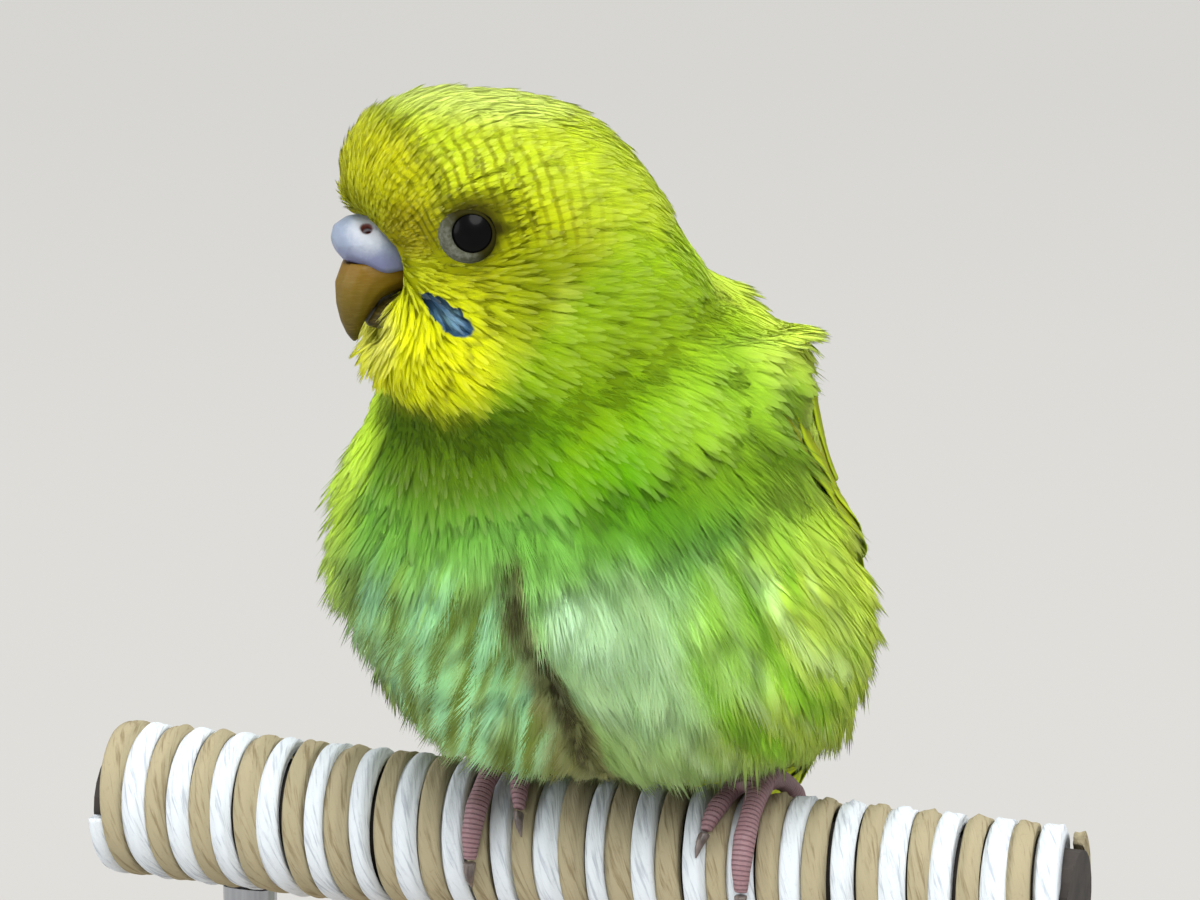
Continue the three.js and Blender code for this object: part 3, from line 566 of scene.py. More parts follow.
@dataclass(frozen=True)
class PlumageFinish:
    """Markings that the skin, the body feathers and the small wing coverts share."""

    space: Space
    crown: Colour = tone(164, 180, 34)
    bar: Colour = tone(104, 106, 0)
    mantle: Colour = tone(188, 210, 66)
    parting: Colour = tone(138, 130, 90)
    spot: Colour = tone(50, 42, 20)
    olive: Colour = tone(104, 122, 20)
    mint: Colour = tone(166, 224, 178)
    streak: Colour = tone(112, 172, 16)
    cheek: Colour = tone(48, 84, 124)
    cheek_light: Colour = tone(112, 150, 178)
    cheek_dark: Colour = tone(34, 56, 78)
    heights: tuple[float, ...] = (8, 20, 29, 36, 42, 47, 52, 58)  # of the colours down the middle of the front
    middle: tuple[Colour, ...] = (
        tone(138, 166, 104), tone(146, 178, 110), tone(158, 200, 142), tone(150, 200, 126), tone(114, 172, 74),
        tone(84, 136, 12), tone(98, 142, 8), tone(134, 166, 20),
    )
    bar_pitch: float = 0.95
    bar_reach: float = 18.0  # how far from the eyes the bars run
    lid_shade: Colour = tone(62, 58, 6)
    root_share: float = 0.4  # how far a feather takes its colour from its root and not from each place on it
    lean: float = 2.6  # how far feathers are shaded by the body's surface and not by their own
    glow: float = 0.75  # how far light spreads from feather to feather

    def colour(self, board: Board, root: Wire, exact: Wire) -> Wire:
        """Colour of the plumage at a place.

        Args:
            board: Tree that the nodes go into.
            root: Where the feather grows, in metres, or the place itself on the skin.
            exact: The place itself in metres.
        Returns:
            The colour.
        """
        grip = tuple(self.space.grip * MM)
        grown = board.vector("SCALE", board.vector("SUBTRACT", root, grip), self.root_share / MM)
        point = board.vector("SCALE", board.vector("SUBTRACT", exact, grip), 1 / MM)
        place = board.vector("ADD", grown, board.vector("SCALE", point, 1 - self.root_share))
        wander = board.noise(place, 0.13, 2.0) - 0.5
        trunk = self._trunk(board, place, wander)
        return self._head(board, trunk, place, point, wander)

    @staticmethod
    def _split(board: Board, place: Wire) -> tuple[Wire, Wire, Wire]:
        """Three numbers of a vector."""
        parts = board.add("ShaderNodeSeparateXYZ", {}, {0: place})
        return tuple(board.output_of(parts, k) for k in range(3))

    @staticmethod
    def _strands(board: Board, across: Wire, z: Wire, pitch: float, length: float) -> Wire:
        """Noise drawn out down the body, from 0 to 1."""
        drawn = board.add("ShaderNodeCombineXYZ", {}, {0: across * (1 / pitch), 1: z * (1 / length)})
        return board.noise(drawn, 1.0, 1.0)

    def _trunk(self, board: Board, place: Wire, wander: Wire) -> Wire:
        """Colour of everything below the neck."""
        x, y, z = self._split(board, place)
        low, high = self.heights[0], self.heights[-1]
        stops = [((height - low) / (high - low), tint) for height, tint in zip(self.heights, self.middle)]
        level = (z + wander * 5.0 - low) * (1 / (high - low))
        colour = board.add("ShaderNodeValToRGB", {"stops": stops}, {"Fac": level})
        for area in BodyArea:
            colour = area.value.over(board, colour, x + wander * 6.0, z - wander * 4.0)
        beside = x - self._parting_at(board, z)
        to_right = self._strands(board, x + z * 0.4, z, 1.9, 16.0)
        lobe = z.step(12.0, 18.0) * z.step(44.0, 36.0) * beside.step(0.5, 3.0)
        colour = board.mix(to_right.step(0.5, 0.68) * lobe * 0.35, colour, tone(206, 232, 188))
        colour = board.mix(to_right.step(0.5, 0.34) * lobe * x.step(14.0, 20.0) * 0.75, colour, self.streak)
        to_left = self._strands(board, x - z * 0.36, z, 1.55, 15.0)
        left = z.step(9.0, 15.0) * z.step(41.0, 35.0) * beside.step(-0.5, -3.0) * x.step(-22.0, -17.0)
        colour = board.mix(to_left.step(0.5, 0.6) * left * 0.85, colour, self.mint)
        colour = board.mix(to_left.step(0.5, 0.4) * left * 0.8, colour, self.olive)
        colour = self._furrow(board, colour, place, beside, z)
        middle = (x * x + (y + 1.0) * (y + 1.0)) ** 0.5 + 0.01
        facing = 0.0 - (y + 1.0) / middle
        return board.mix((facing + wander * 0.3).step(0.22, -0.2), colour, self.mantle)

    def _parting_at(self, board: Board, z: Wire) -> Wire:
        """How far to the left the furrow runs at a height."""
        down = board.add("ShaderNodeMath", {"operation": "MINIMUM"},
                         {0: self.space.parting_top[1] - z, 1: self.space.parting_run})
        return down * self.space.parting_slope + self.space.parting_top[0]

    def _furrow(self, board: Board, colour: Wire, place: Wire, beside: Wire, z: Wire) -> Wire:
        """Lays the dull down of the parting and its dark spots over a colour."""
        fine = board.noise(place, 0.6, 2.0) - 0.5
        opened = (36.0 - z) * 0.14 + 0.9
        inside = (beside + opened + fine * 3.0).step(-1.6, 1.2) * (beside + fine).step(1.5, 0.5)
        inside = inside * z.step(41.5, 39.0) * z.step(9.0, 12.0)
        colour = board.mix(inside * 0.7, colour, self.parting)
        dark = (beside + 0.5 + fine).size().step(1.7, 0.4) * z.step(42.0, 40.0) * z.step(13.0, 18.0)
        speckle = board.noise(board.stretched(place, (1.0, 1.0, 0.6)), 0.8, 1.0).step(0.42, 0.6)
        return board.mix(dark * (speckle * 0.6 + 0.3), colour, self.spot)

    def _head(self, board: Board, trunk: Wire, place: Wire, point: Wire, wander: Wire) -> Wire:
        """Colour of the head and the bib over that of the trunk."""
        _, _, z = self._split(board, place)
        from_head = board.vector("SUBTRACT", place, tuple(self.space.head))
        ahead = board.vector("DOT_PRODUCT", from_head, tuple(self.space.ahead))
        aside = board.vector("DOT_PRODUCT", from_head, tuple(self.space.left)).size()
        border = z - 51.5 - ahead.step(9.5, -9.0) * 17.0 - aside * aside * 0.006 + wander * 5.0
        colour = board.mix(0.0, self.crown, self.crown)
        for area in HeadArea:
            colour = area.value.over(board, colour, ahead + wander * 2.0, z)
        colour = self._bars(board, colour, point, z)
        colour = board.mix(border.step(-2.5, 3.5), trunk, colour)
        return self._cheek(board, colour, point, aside)

    def _bars(self, board: Board, colour: Wire, point: Wire, z: Wire) -> Wire:
        """Lays fine dark bars over the forehead and round the eyes."""
        reach = board.vector("DISTANCE", point, tuple(self.space.bill()))
        to_eyes = [board.vector("DISTANCE", point, tuple(self.space.eye_opening(side))) for side in (-1, 1)]
        to_eye = board.add("ShaderNodeMath", {"operation": "MINIMUM"}, {0: to_eyes[0], 1: to_eyes[1]})
        ripple = board.noise(point, 0.2, 2.0) * 5.0
        wave = (reach * (math.tau / self.bar_pitch) + ripple).sine().step(-0.1, 0.9)
        broken = board.noise(point, 0.45, 1.0).step(0.3, 0.55)
        near = to_eye.step(self.bar_reach, 4.0) * z.step(67.5, 71.5) * reach.step(4.0, 7.0)
        colour = board.mix(wave * near * (broken * 0.5 + 0.5) * 0.8, colour, self.bar)
        return board.mix(to_eye.step(3.7, 2.5) * 0.8, colour, self.lid_shade)

    def _cheek(self, board: Board, colour: Wire, point: Wire, aside: Wire) -> Wire:
        """Lays the blue cheek patches over a colour, drawn sharply by the exact place."""
        from_head = board.vector("SUBTRACT", point, tuple(self.space.head))
        ahead = board.vector("DOT_PRODUCT", from_head, tuple(self.space.ahead)) - 8.5
        height = board.vector("DOT_PRODUCT", from_head, (0.0, 0.0, 1.0)) - 62.4
        ragged = board.noise(point, 1.1, 1.0) - 0.5
        along = (ahead * 0.69 + height * 0.73 + ragged * 0.5) * (1 / 2.75)
        across = (height * 0.69 - ahead * 0.73 + ragged * 0.9) / (1.15 - along * 0.5)
        oval = along * along + across * across
        blue = board.mix(across.step(0.2, 0.7) + along.step(0.1, 0.7), self.cheek, self.cheek_dark)
        blue = board.mix(oval.step(0.7, 0.1) * along.step(0.5, -0.2) * 0.8, blue, self.cheek_light)
        return board.mix(oval.step(1.1, 0.85) * aside.step(4.0, 6.5), colour, blue)

    def skin(self) -> bpy.types.Material:
        """Finish of the skin under the feathers, in the same markings but darker."""
        material, board = new_material("skin_under_feathers")
        here = board.here()
        colour = board.mix(1.0, self.colour(board, here, here), tone(215, 215, 205), "MULTIPLY")
        board.surface(colour, 0.9, Specular_IOR_Level=0.1)
        return material

    def coat(self, name: str, tip: float, scallop: float = 0.0) -> bpy.types.Material:
        """Finish of small feathers.

        Args:
            name: Name of the material.
            tip: How much paler the tips are.
            scallop: How dark the crescent near each tip is.
        Returns:
            The material.
        """
        material, board = new_material(name)
        root = board.attribute("root")
        blade = board.attribute("blade")
        parts = board.add("ShaderNodeSeparateXYZ", {}, {0: blade})
        across = parts.size()
        along = board.output_of(parts, 1)
        shade = board.attribute("shade", "Fac")
        colour = self.colour(board, root, board.here())
        pale = board.mix(0.35, colour, tone(250, 252, 190), "SCREEN")
        colour = board.mix(along.step(0.45, 1.0) * tip, colour, pale)
        deep = board.mix(1.0, colour, tone(214, 218, 190), "MULTIPLY")
        colour = board.mix(along.step(0.6, 0.1) * 0.5, colour, deep)
        shaded = board.mix(1.0, colour, tone(230, 234, 214), "MULTIPLY")
        colour = board.mix(shade.step(0.35, 1.0) * 0.4, colour, shaded)
        if scallop:
            crescent = (along + across * across * 0.12).step(0.45, 0.66) * along.step(0.9, 0.78)
            colour = board.mix(crescent * scallop, colour, tone(120, 128, 52))
        geometry = board.add("ShaderNodeNewGeometry", {}, {}, "Normal")
        lean = board.vector("SCALE", board.attribute("root_normal"), self.lean)
        normal = board.vector("NORMALIZE", board.vector("ADD", geometry, lean))
        board.surface(colour, 0.8, normal, Specular_IOR_Level=0.08, Sheen_Weight=0.1, Sheen_Roughness=0.6,
                      Subsurface_Weight=self.glow, Subsurface_Radius=(0.0022, 0.0022, 0.0016), Subsurface_Scale=1.0)
        return material


@dataclass(frozen=True)
class VaneFinish:
    """Finish of the large feathers of wing and tail, marked along each vane."""

    name: str
    edge: Colour
    middle: Colour
    shaft: Colour
    barbs: float = 60.0  # barbs along a vane

    def material(self) -> bpy.types.Material:
        """Makes the material; blade holds across, along and a number of each feather's own."""
        material, board = new_material(self.name)
        parts = board.add("ShaderNodeSeparateXYZ", {}, {0: board.attribute("blade")})
        across = parts.size()
        along = board.output_of(parts, 1)
        own = board.output_of(parts, 2)
        rough = board.noise(board.here(), 900.0, 2.0) - 0.5
        inner = (across + rough * 0.4).step(0.8, 0.35) * (along + rough * 0.1).step(0.97, 0.82)
        colour = board.mix(inner, self.edge, self.middle)
        lines = ((along * self.barbs - across * 5.0) * math.tau).sine().step(-0.6, 1.0)
        darker = board.mix(1.0, colour, tone(206, 206, 190), "MULTIPLY")
        colour = board.mix(lines * 0.5, colour, darker)
        colour = board.mix(own * 0.35, colour, board.mix(1.0, colour, tone(214, 222, 190), "MULTIPLY"))
        colour = board.mix(across.step(0.075, 0.045), colour, self.shaft)
        height = lines * 0.6 + across.step(0.09, 0.02)
        normal = board.bump(height, 0.5, 0.00012)
        board.surface(colour, 0.7, normal, Specular_IOR_Level=0.1)
        return material


# Finishes of bare parts and of the stand


@dataclass(frozen=True)
class CereFinish:
    """Waxy bare skin over the bill, paler round the nostrils."""

    space: Space
    pale: Colour = tone(136, 148, 170)
    violet: Colour = tone(102, 104, 144)
    rim: Colour = tone(186, 192, 204)
    hole: Colour = tone(92, 46, 40)
    nostril: tuple[float, float, float] = (14.8, 2.6, 70.3)
    nostril_end: tuple[float, float, float] = (14.4, 2.1, 69.3)

    def material(self) -> bpy.types.Material:
        """Makes the material."""
        material, board = new_material("cere_wax")
        here = board.here()
        grain = board.noise(here, 2200.0, 3.0) - 0.5
        height = board.output_of(board.add("ShaderNodeSeparateXYZ", {}, {0: here}), 2)
        base_height = float(self.space.grip[2] + self.nostril[2]) * MM
        low = ((height - base_height) * (1 / MM) + grain * 1.2).step(-1.2, -3.6)
        colour = board.mix(low * 0.8, self.pale, self.violet)
        distances = []
        for side in (-1, 1):
            for ahead, left, up in (self.nostril, self.nostril_end):
                spot = self.space.at_head(ahead, side * left, up)
                distances.append(board.vector("DISTANCE", here, tuple(self.space.metres(spot))) * (1 / MM))
        near = distances[0]
        for distance in distances[1:]:
            near = board.add("ShaderNodeMath", {"operation": "MINIMUM"}, {0: near, 1: distance})
        colour = board.mix((near + grain).step(2.6, 1.0) * 0.9, colour, self.rim)
        colour = board.mix(near.step(0.8, 0.5), colour, self.hole)
        normal = board.bump(grain, 0.35, 0.00015)
        board.surface(colour, 0.5, normal, Subsurface_Weight=0.25, Subsurface_Radius=(0.002, 0.001, 0.001),
                      Subsurface_Scale=0.5, Coat_Weight=0.06, Specular_IOR_Level=0.3)
        return material


@dataclass(frozen=True)
class BillFinish:
    """Horn of the bill, from yellow-brown at its root to dark at its tip."""

    space: Space
    name: str
    root: Colour
    middle: Colour
    low: Colour
    tip: Colour
    top: float = 68.0
    bottom: float = 58.4

    def material(self) -> bpy.types.Material:
        """Makes the material."""
        material, board = new_material(self.name)
        here = board.here()
        height = board.output_of(board.add("ShaderNodeSeparateXYZ", {}, {0: here}), 2)
        bottom = float(self.space.grip[2] + self.bottom) * MM
        mottle = board.noise(board.stretched(here, (1, 1, 0.35)), 1500.0, 4.0) - 0.5
        rise = (height - bottom) * (1 / (self.top - self.bottom) / MM) + mottle * 0.25
        stops = [(0.0, self.tip), (0.22, self.low), (0.55, self.middle), (1.0, self.root)]
        colour = board.add("ShaderNodeValToRGB", {"stops": stops}, {"Fac": rise})
        layers = board.noise(board.stretched(here, (0.4, 0.4, 2.5)), 2600.0, 3.0)
        colour = board.mix(layers.step(0.45, 0.75) * 0.3, colour, tone(128, 112, 52))
        normal = board.bump(layers, 0.25, 0.0001)
        board.surface(colour, 0.5, normal, Coat_Weight=0.05, Coat_Roughness=0.3, Specular_IOR_Level=0.25,
                      Subsurface_Weight=0.1, Subsurface_Radius=(0.002, 0.001, 0.0006), Subsurface_Scale=0.4)
        return material


@dataclass(frozen=True)
class EyeFinish:
    """Wet, wholly dark eye of a young bird, and the bare ring round it."""

    iris: Colour = tone(5, 5, 6)
    ring_light: Colour = tone(104, 107, 96)
    ring_dark: Colour = tone(78, 80, 66)
    ring_shade: Colour = tone(40, 38, 6)

    def ball(self) -> bpy.types.Material:
        """Finish of the eyeball."""
        material, board = new_material("eye_wet")
        tint = board.noise(board.here(), 900.0, 2.0)
        colour = board.mix(tint.step(0.3, 0.8) * 0.6, self.iris, tone(9, 7, 8))
        board.surface(colour, 0.25, None, Coat_Weight=0.06, Coat_Roughness=0.02, Specular_IOR_Level=0.05)
        return material

    def ring(self) -> bpy.types.Material:
        """Finish of the bare lids."""
        material, board = new_material("eye_ring_skin")
        grain = board.noise(board.here(), 2600.0, 3.0)
        colour = board.mix(grain.step(0.35, 0.7), self.ring_dark, self.ring_light)
        lit = board.attribute("lit", "Fac")
        colour = board.mix(lit.step(0.5, 0.98), self.ring_shade, colour)
        board.surface(colour, 0.6, board.bump(grain, 0.35, 0.0001), Specular_IOR_Level=0.05)
        return material


@dataclass(frozen=True)
class ToeFinish:
    """Pink-grey scaled skin of the toes, with a plate each half millimetre round the bar."""

    space: Space
    plate: Colour = tone(154, 122, 128)
    seam: Colour = tone(120, 90, 98)
    pitch: float = 0.5
    radius: float = 10.3

    def material(self) -> bpy.types.Material:
        """Makes the material."""
        material, board = new_material("toe_scales")
        here = board.here()
        grip = tuple(self.space.grip * MM)
        parts = board.add("ShaderNodeSeparateXYZ", {}, {0: board.vector("SUBTRACT", here, grip)})
        y = board.output_of(parts, 1)
        z = board.output_of(parts, 2)
        angle = board.add("ShaderNodeMath", {"operation": "ARCTAN2"}, {0: y, 1: z})
        wobble = board.noise(here, 700.0, 2.0) * 1.2
        wave = (angle * (math.tau * self.radius / self.pitch) + wobble).sine()
        raised = wave.step(-1.0, -0.35)
        grain = board.noise(here, 3000.0, 2.0)
        colour = board.mix(raised, self.seam, board.mix(grain, self.plate, tone(140, 108, 114)))
        normal = board.bump(raised + grain * 0.25, 0.7, 0.00022)
        board.surface(colour, 0.55, normal, Subsurface_Weight=0.2, Subsurface_Radius=(0.003, 0.001, 0.001),
                      Subsurface_Scale=0.4, Specular_IOR_Level=0.35)
        return material


@dataclass(frozen=True)
class GrainFinish:
    """Plain material with a fine grain: horn of claws, wood, paper, metal."""

    name: str
    light: Colour
    dark: Colour
    roughness: float
    scale: float
    stretch: tuple[float, float, float] = (1.0, 1.0, 1.0)
    depth: float = 0.0001
    metallic: float = 0.0
    coat: float = 0.0

    def material(self) -> bpy.types.Material:
        """Makes the material."""
        material, board = new_material(self.name)
        grain = board.noise(board.stretched(board.here(), self.stretch), self.scale, 5.0, 0.6)
        colour = board.mix(grain.step(0.3, 0.72), self.light, self.dark)
        rough = grain * 0.2 + (self.roughness - 0.1)
        board.surface(colour, rough, board.bump(grain, 0.4, self.depth), Metallic=self.metallic,
                      Coat_Weight=self.coat)
        return material


@dataclass(frozen=True)
class PaperCordFinish:
    """Twisted paper cord: creases run along it at a slant, from the cord's own map."""

    name: str
    light: Colour
    dark: Colour

    def material(self) -> bpy.types.Material:
        """Makes the material; twist holds the turn round the cord and the length along it in millimetres."""
        material, board = new_material(self.name)
        parts = board.add("ShaderNodeSeparateXYZ", {}, {0: board.attribute("twist")})
        around = parts
        along = board.output_of(parts, 1)
        own = board.output_of(parts, 2)
        combined = board.add("ShaderNodeCombineXYZ", {}, {0: around * 9.0 + along * 0.32, 1: along * 0.09, 2: own})
        crease = board.noise(combined, 2.3, 4.0, 0.6)
        fleck = board.noise(board.here(), 1800.0, 3.0)
        # Painted shade: the paper is darker where its creases sink; the flecks below are its own.
        colour = board.mix(crease.step(0.5, 0.32) * 0.7, self.light, self.dark)
        colour = board.mix(fleck.step(0.6, 0.75) * 0.2, colour, self.dark)
        normal = board.bump(crease, 0.6, 0.0003)
        board.surface(colour, 1.0, normal, Specular_IOR_Level=0.04)
        return material


# Feathers as meshes


@dataclass(frozen=True)
class Plume:
    """Small body feather of unit length and unit half width: a narrow vane under long tapered barbs."""

    name: str
    barbs: int
    vane: float  # half width of the vane, 0 for none
    reach: float  # length of a barb
    thin: float  # half width of a barb
    point: float  # how far the outer barbs end behind the tip
    loose: float  # how far barbs stray
    cup: float  # how far the edges drop below the shaft
    bend: float  # how far the tip drops
    seed: int

    def build(self) -> bpy.types.Object:
        """Makes the feather and marks each corner with its place across and along."""
        draw = np.random.default_rng(self.seed)
        points: list[tuple[float, float, float]] = []
        faces: list[tuple[int, ...]] = []

        def corner(x: float, y: float, rise: float = 0.0) -> None:
            points.append((x, y, rise - self.cup * abs(x) ** 1.6 - self.bend * y * y))

        if self.vane:
            self._add_vane(corner, faces)
        for k in range(self.barbs):
            aside = (k + 0.5) / self.barbs * 2 - 1
            aside += draw.uniform(-0.6, 0.6) / self.barbs
            tip_x = aside * (1 + 0.12 * self.loose * draw.uniform(-1, 1))
            tip_y = 1 - self.point * abs(aside) ** 1.7 - abs(draw.normal(0, 0.06)) * self.loose
            base_y = max(0.0, tip_y - self.reach * draw.uniform(0.85, 1.15))
            base_x = aside * (0.12 + 0.55 * base_y * (1 - base_y))
            middle = 0.5
            middle_x = lerp(base_x, tip_x, middle) + aside * 0.05
            middle_y = lerp(base_y, tip_y, middle)
            roll = draw.uniform(-0.6, 0.6) * self.thin
            rise = draw.uniform(-0.2, 1.0) * 0.045 * self.loose
            start = len(points)
            corner(base_x - self.thin, base_y, 0.01 - roll)
            corner(base_x + self.thin, base_y, 0.01 + roll)
            corner(middle_x - self.thin * 0.8, middle_y, 0.01 + rise * 0.4 - roll)
            corner(middle_x + self.thin * 0.8, middle_y, 0.01 + rise * 0.4 + roll)
            corner(tip_x, tip_y, 0.01 + rise)
            faces.append((start, start + 1, start + 3, start + 2))
            faces.append((start + 2, start + 3, start + 4))
        piece = make_mesh(self.name, np.array(points), faces)
        marks = [(x, y, 0.0) for x, y, _ in points]
        store(piece.data, "blade", "FLOAT_VECTOR", "POINT", np.array(marks))
        bpy.context.scene.collection.objects.unlink(piece)
        return piece

    def _add_vane(self, corner: Callable[..., None], faces: list[tuple[int, ...]]) -> None:
        """Adds a closed sheet under the barbs, round at its tip."""
        rows = ((0.0, 0.35), (0.3, 0.9), (0.62, 1.0), (0.82, 0.72), (0.93, 0.3))
        for y, share in rows:
            for x in (-1, 0, 1):
                corner(x * self.vane * share, y * (1.0 if x == 0 else 0.97))
        faces += grid_faces(len(rows), 3)


class PlumeKind(Enum):
    """Kinds of small feather: barbs, vane, reach, thin, point, loose, cup and bend."""

    FACE = (11, 0.3, 0.6, 0.045, 0.45, 1.5, 0.10, 0.14)
    CROWN = (13, 0.3, 0.6, 0.038, 0.45, 1.5, 0.10, 0.14)
    FLUFF = (16, 0.0, 0.75, 0.024, 0.5, 2.2, 0.12, 0.12)
    DOWNY = (22, 0.0, 0.6, 0.028, 0.45, 1.4, 0.12, 0.12)
    STREAK = (20, 0.0, 0.66, 0.03, 0.62, 1.2, 0.14, 0.10)
    CONTOUR = (18, 0.6, 0.42, 0.045, 0.30, 0.8, 0.14, 0.16)
    COVERT = (20, 0.84, 0.3, 0.045, 0.34, 0.3, 0.12, 0.2)

    def variants(self, count: int = 4) -> bpy.types.Collection:
        """A few feathers of this kind in a collection of their own."""
        kept = bpy.data.collections.new(f"plumes_{self.name.lower()}")
        for k in range(count):
            plume = Plume(f"{self.name.lower()}_{k}", *self.value, seed=31 * k + self.value[0])
            kept.objects.link(plume.build())
        return kept


class PlumeScatter:
    """Geometry Nodes tree that sets small feathers on one tract of the skin."""

    def __init__(self) -> None:
        """Wires the tree and keeps the identifiers of its inputs."""
        self.tree = bpy.data.node_groups.new("plume_scatter", "GeometryNodeTree")
        board = Board(self.tree)
        self.ids: dict[str, str] = {}
        sockets = {
            "Skin": "NodeSocketGeometry", "Tract": "NodeSocketInt", "Spacing": "NodeSocketFloat",
            "Plumes": "NodeSocketCollection", "Patch": "NodeSocketFloat", "Jitter": "NodeSocketFloat",
            "Seed": "NodeSocketInt", "Finish": "NodeSocketMaterial",
        }
        for name, kind in sockets.items():
            made = self.tree.interface.new_socket(name, in_out="INPUT", socket_type=kind)
            self.ids[name] = made.identifier
        self.tree.interface.new_socket("Coat", in_out="OUTPUT", socket_type="NodeSocketGeometry")
        start = self.tree.nodes.new("NodeGroupInput")
        inputs = {name: Wire(board, start.outputs[name]) for name in sockets}
        coat = self._wire(board, inputs)
        board.add("NodeGroupOutput", {}, {"Coat": coat})

    @staticmethod
    def _named(board: Board, name: str, kind: str) -> Wire:
        """Named attribute as a field."""
        return board.add("GeometryNodeInputNamedAttribute", {"data_type": kind}, {"Name": name})

    @staticmethod
    def _keep(board: Board, geometry: Wire, name: str, kind: str, domain: str, value: Wire) -> Wire:
        """Stores a field under a name."""
        settings = {"data_type": kind, "domain": domain}
        inputs = {"Geometry": geometry, "Name": name, "Value": value}
        return board.add("GeometryNodeStoreNamedAttribute", settings, inputs)

    def _wire(self, board: Board, inputs: dict[str, Wire]) -> Wire:
        """Points on the tract, a feather on each, then its marks, its patch of the map and its finish."""
        tract = self._named(board, "tract", "INT")
        settings = {"data_type": "INT", "operation": "EQUAL"}
        chosen = board.add("FunctionNodeCompare", settings, {2: tract, 3: inputs["Tract"]})
        spread_inputs = {
            "Mesh": inputs["Skin"], "Selection": chosen, "Distance Min": inputs["Spacing"],
            "Density Max": 4.0e6, "Density Factor": 1.0, "Seed": inputs["Seed"],
        }
        points = board.add("GeometryNodeDistributePointsOnFaces", {"distribute_method": "POISSON"}, spread_inputs)
        facing = board.output_of(points, "Normal")
        marked = self._keep(board, points, "root", "FLOAT_VECTOR", "POINT",
                            board.add("GeometryNodeInputPosition"))
        marked = self._keep(board, marked, "root_normal", "FLOAT_VECTOR", "POINT", facing)
        shade = board.add("FunctionNodeRandomValue", {"data_type": "FLOAT"}, {2: 0.0, 3: 1.0, 8: 7}, 1)
        marked = self._keep(board, marked, "shade", "FLOAT", "POINT", shade)
        map_place = self._named(board, BAKE_MAP, "FLOAT_VECTOR")
        marked = self._keep(board, marked, "root_map", "FLOAT_VECTOR", "POINT", map_place)
        sway = board.add("FunctionNodeRandomValue", {"data_type": "FLOAT_VECTOR"},
                         {0: (-1.0, -1.0, -1.0), 1: (1.0, 1.0, 1.0), 8: 3})
        lie = board.vector("ADD", self._named(board, "lie", "FLOAT_VECTOR"),
                           board.vector("SCALE", sway, inputs["Jitter"]))
        turn = board.add("FunctionNodeAxesToRotation", {"primary_axis": "Y", "secondary_axis": "Z"},
                         {"Primary Axis": lie, "Secondary Axis": facing})
        growth = board.add("FunctionNodeRandomValue", {"data_type": "FLOAT"}, {2: 0.82, 3: 1.18, 8: 11}, 1)
        length = self._named(board, "plume_length", "FLOAT") * growth
        width = self._named(board, "plume_width", "FLOAT") * growth
        size = board.add("ShaderNodeCombineXYZ", {}, {0: width, 1: length, 2: length})
        kinds = board.add("GeometryNodeCollectionInfo", {},
                          {"Collection": inputs["Plumes"], "Separate Children": True, "Reset Children": True})
        pick = board.add("FunctionNodeRandomValue", {"data_type": "INT"}, {4: 0, 5: 3, 8: 5}, 2)
        instance_inputs = {
            "Points": marked, "Instance": kinds, "Pick Instance": True, "Instance Index": pick,
            "Rotation": turn, "Scale": size,
        }
        placed = board.add("GeometryNodeInstanceOnPoints", {}, instance_inputs)
        real = board.add("GeometryNodeRealizeInstances", {}, {"Geometry": placed})
        blade = self._named(board, "blade", "FLOAT_VECTOR")
        offset = board.vector("MULTIPLY", board.vector("SUBTRACT", blade, (0.0, 0.5, 0.0)), (0.5, 0.95, 0.0))
        patch = board.vector("SCALE", offset, inputs["Patch"])
        spot = board.vector("ADD", self._named(board, "root_map", "FLOAT_VECTOR"), patch)
        real = self._keep(board, real, BAKE_MAP, "FLOAT2", "CORNER", spot)
        for name in ("lie", "plume_length", "plume_width", "root_map", "tract"):
            real = board.add("GeometryNodeRemoveAttribute", {}, {"Geometry": real, "Name": name})
        return board.add("GeometryNodeSetMaterial", {}, {"Geometry": real, "Material": inputs["Finish"]})

    def grow(self, skin: bpy.types.Object, name: str, values: dict[str, object]) -> bpy.types.Object:
        """Sets feathers on a tract.

        Args:
            skin: The skin with its fields of lie and length.
            name: Name of the coat piece.
            values: Values of the tree's inputs by name.
        Returns:
            The coat as a plain mesh.
        """
        carrier = link(skin.data, name)
        modifier = carrier.modifiers.new("plumes", "NODES")
        modifier.node_group = self.tree
        for key, value in values.items():
            modifier[self.ids[key]] = value
        return settled(carrier, name)


# Skin and coat


class Tract(Enum):
    """Tracts of the coat, each a piece of its own: number, kind of feather, spacing, jitter, tip and slot."""

    FACE = (1, PlumeKind.FACE, 0.44, 0.12, 0.12, "head_feathers")
    CROWN_LEFT = (2, PlumeKind.CROWN, 0.58, 0.10, 0.15, "head_feathers")
    CROWN_RIGHT = (3, PlumeKind.CROWN, 0.58, 0.10, 0.15, "head_feathers")
    THROAT = (4, PlumeKind.FLUFF, 0.56, 0.2, 0.08, "body_feathers")
    BREAST = (5, PlumeKind.FLUFF, 0.64, 0.2, 0.12, "body_feathers")
    BELLY_LEFT = (6, PlumeKind.DOWNY, 0.76, 0.12, 0.25, "body_feathers")
    BELLY_RIGHT = (7, PlumeKind.STREAK, 0.8, 0.10, 0.25, "body_feathers")
    FLANK_LEFT = (8, PlumeKind.DOWNY, 0.8, 0.14, 0.25, "body_feathers")
    FLANK_RIGHT = (9, PlumeKind.DOWNY, 0.8, 0.14, 0.25, "body_feathers")
    MANTLE = (10, PlumeKind.CONTOUR, 1.0, 0.08, 0.15, "body_feathers")
    RUMP = (11, PlumeKind.DOWNY, 1.1, 0.12, 0.3, "body_feathers")
    WING_LEFT = (12, PlumeKind.COVERT, 1.1, 0.06, 0.3, "wing_feathers")
    WING_RIGHT = (13, PlumeKind.COVERT, 1.1, 0.06, 0.3, "wing_feathers")

    @property
    def number(self) -> int:
        """Number that marks the tract on the skin."""
        return self.value[0]


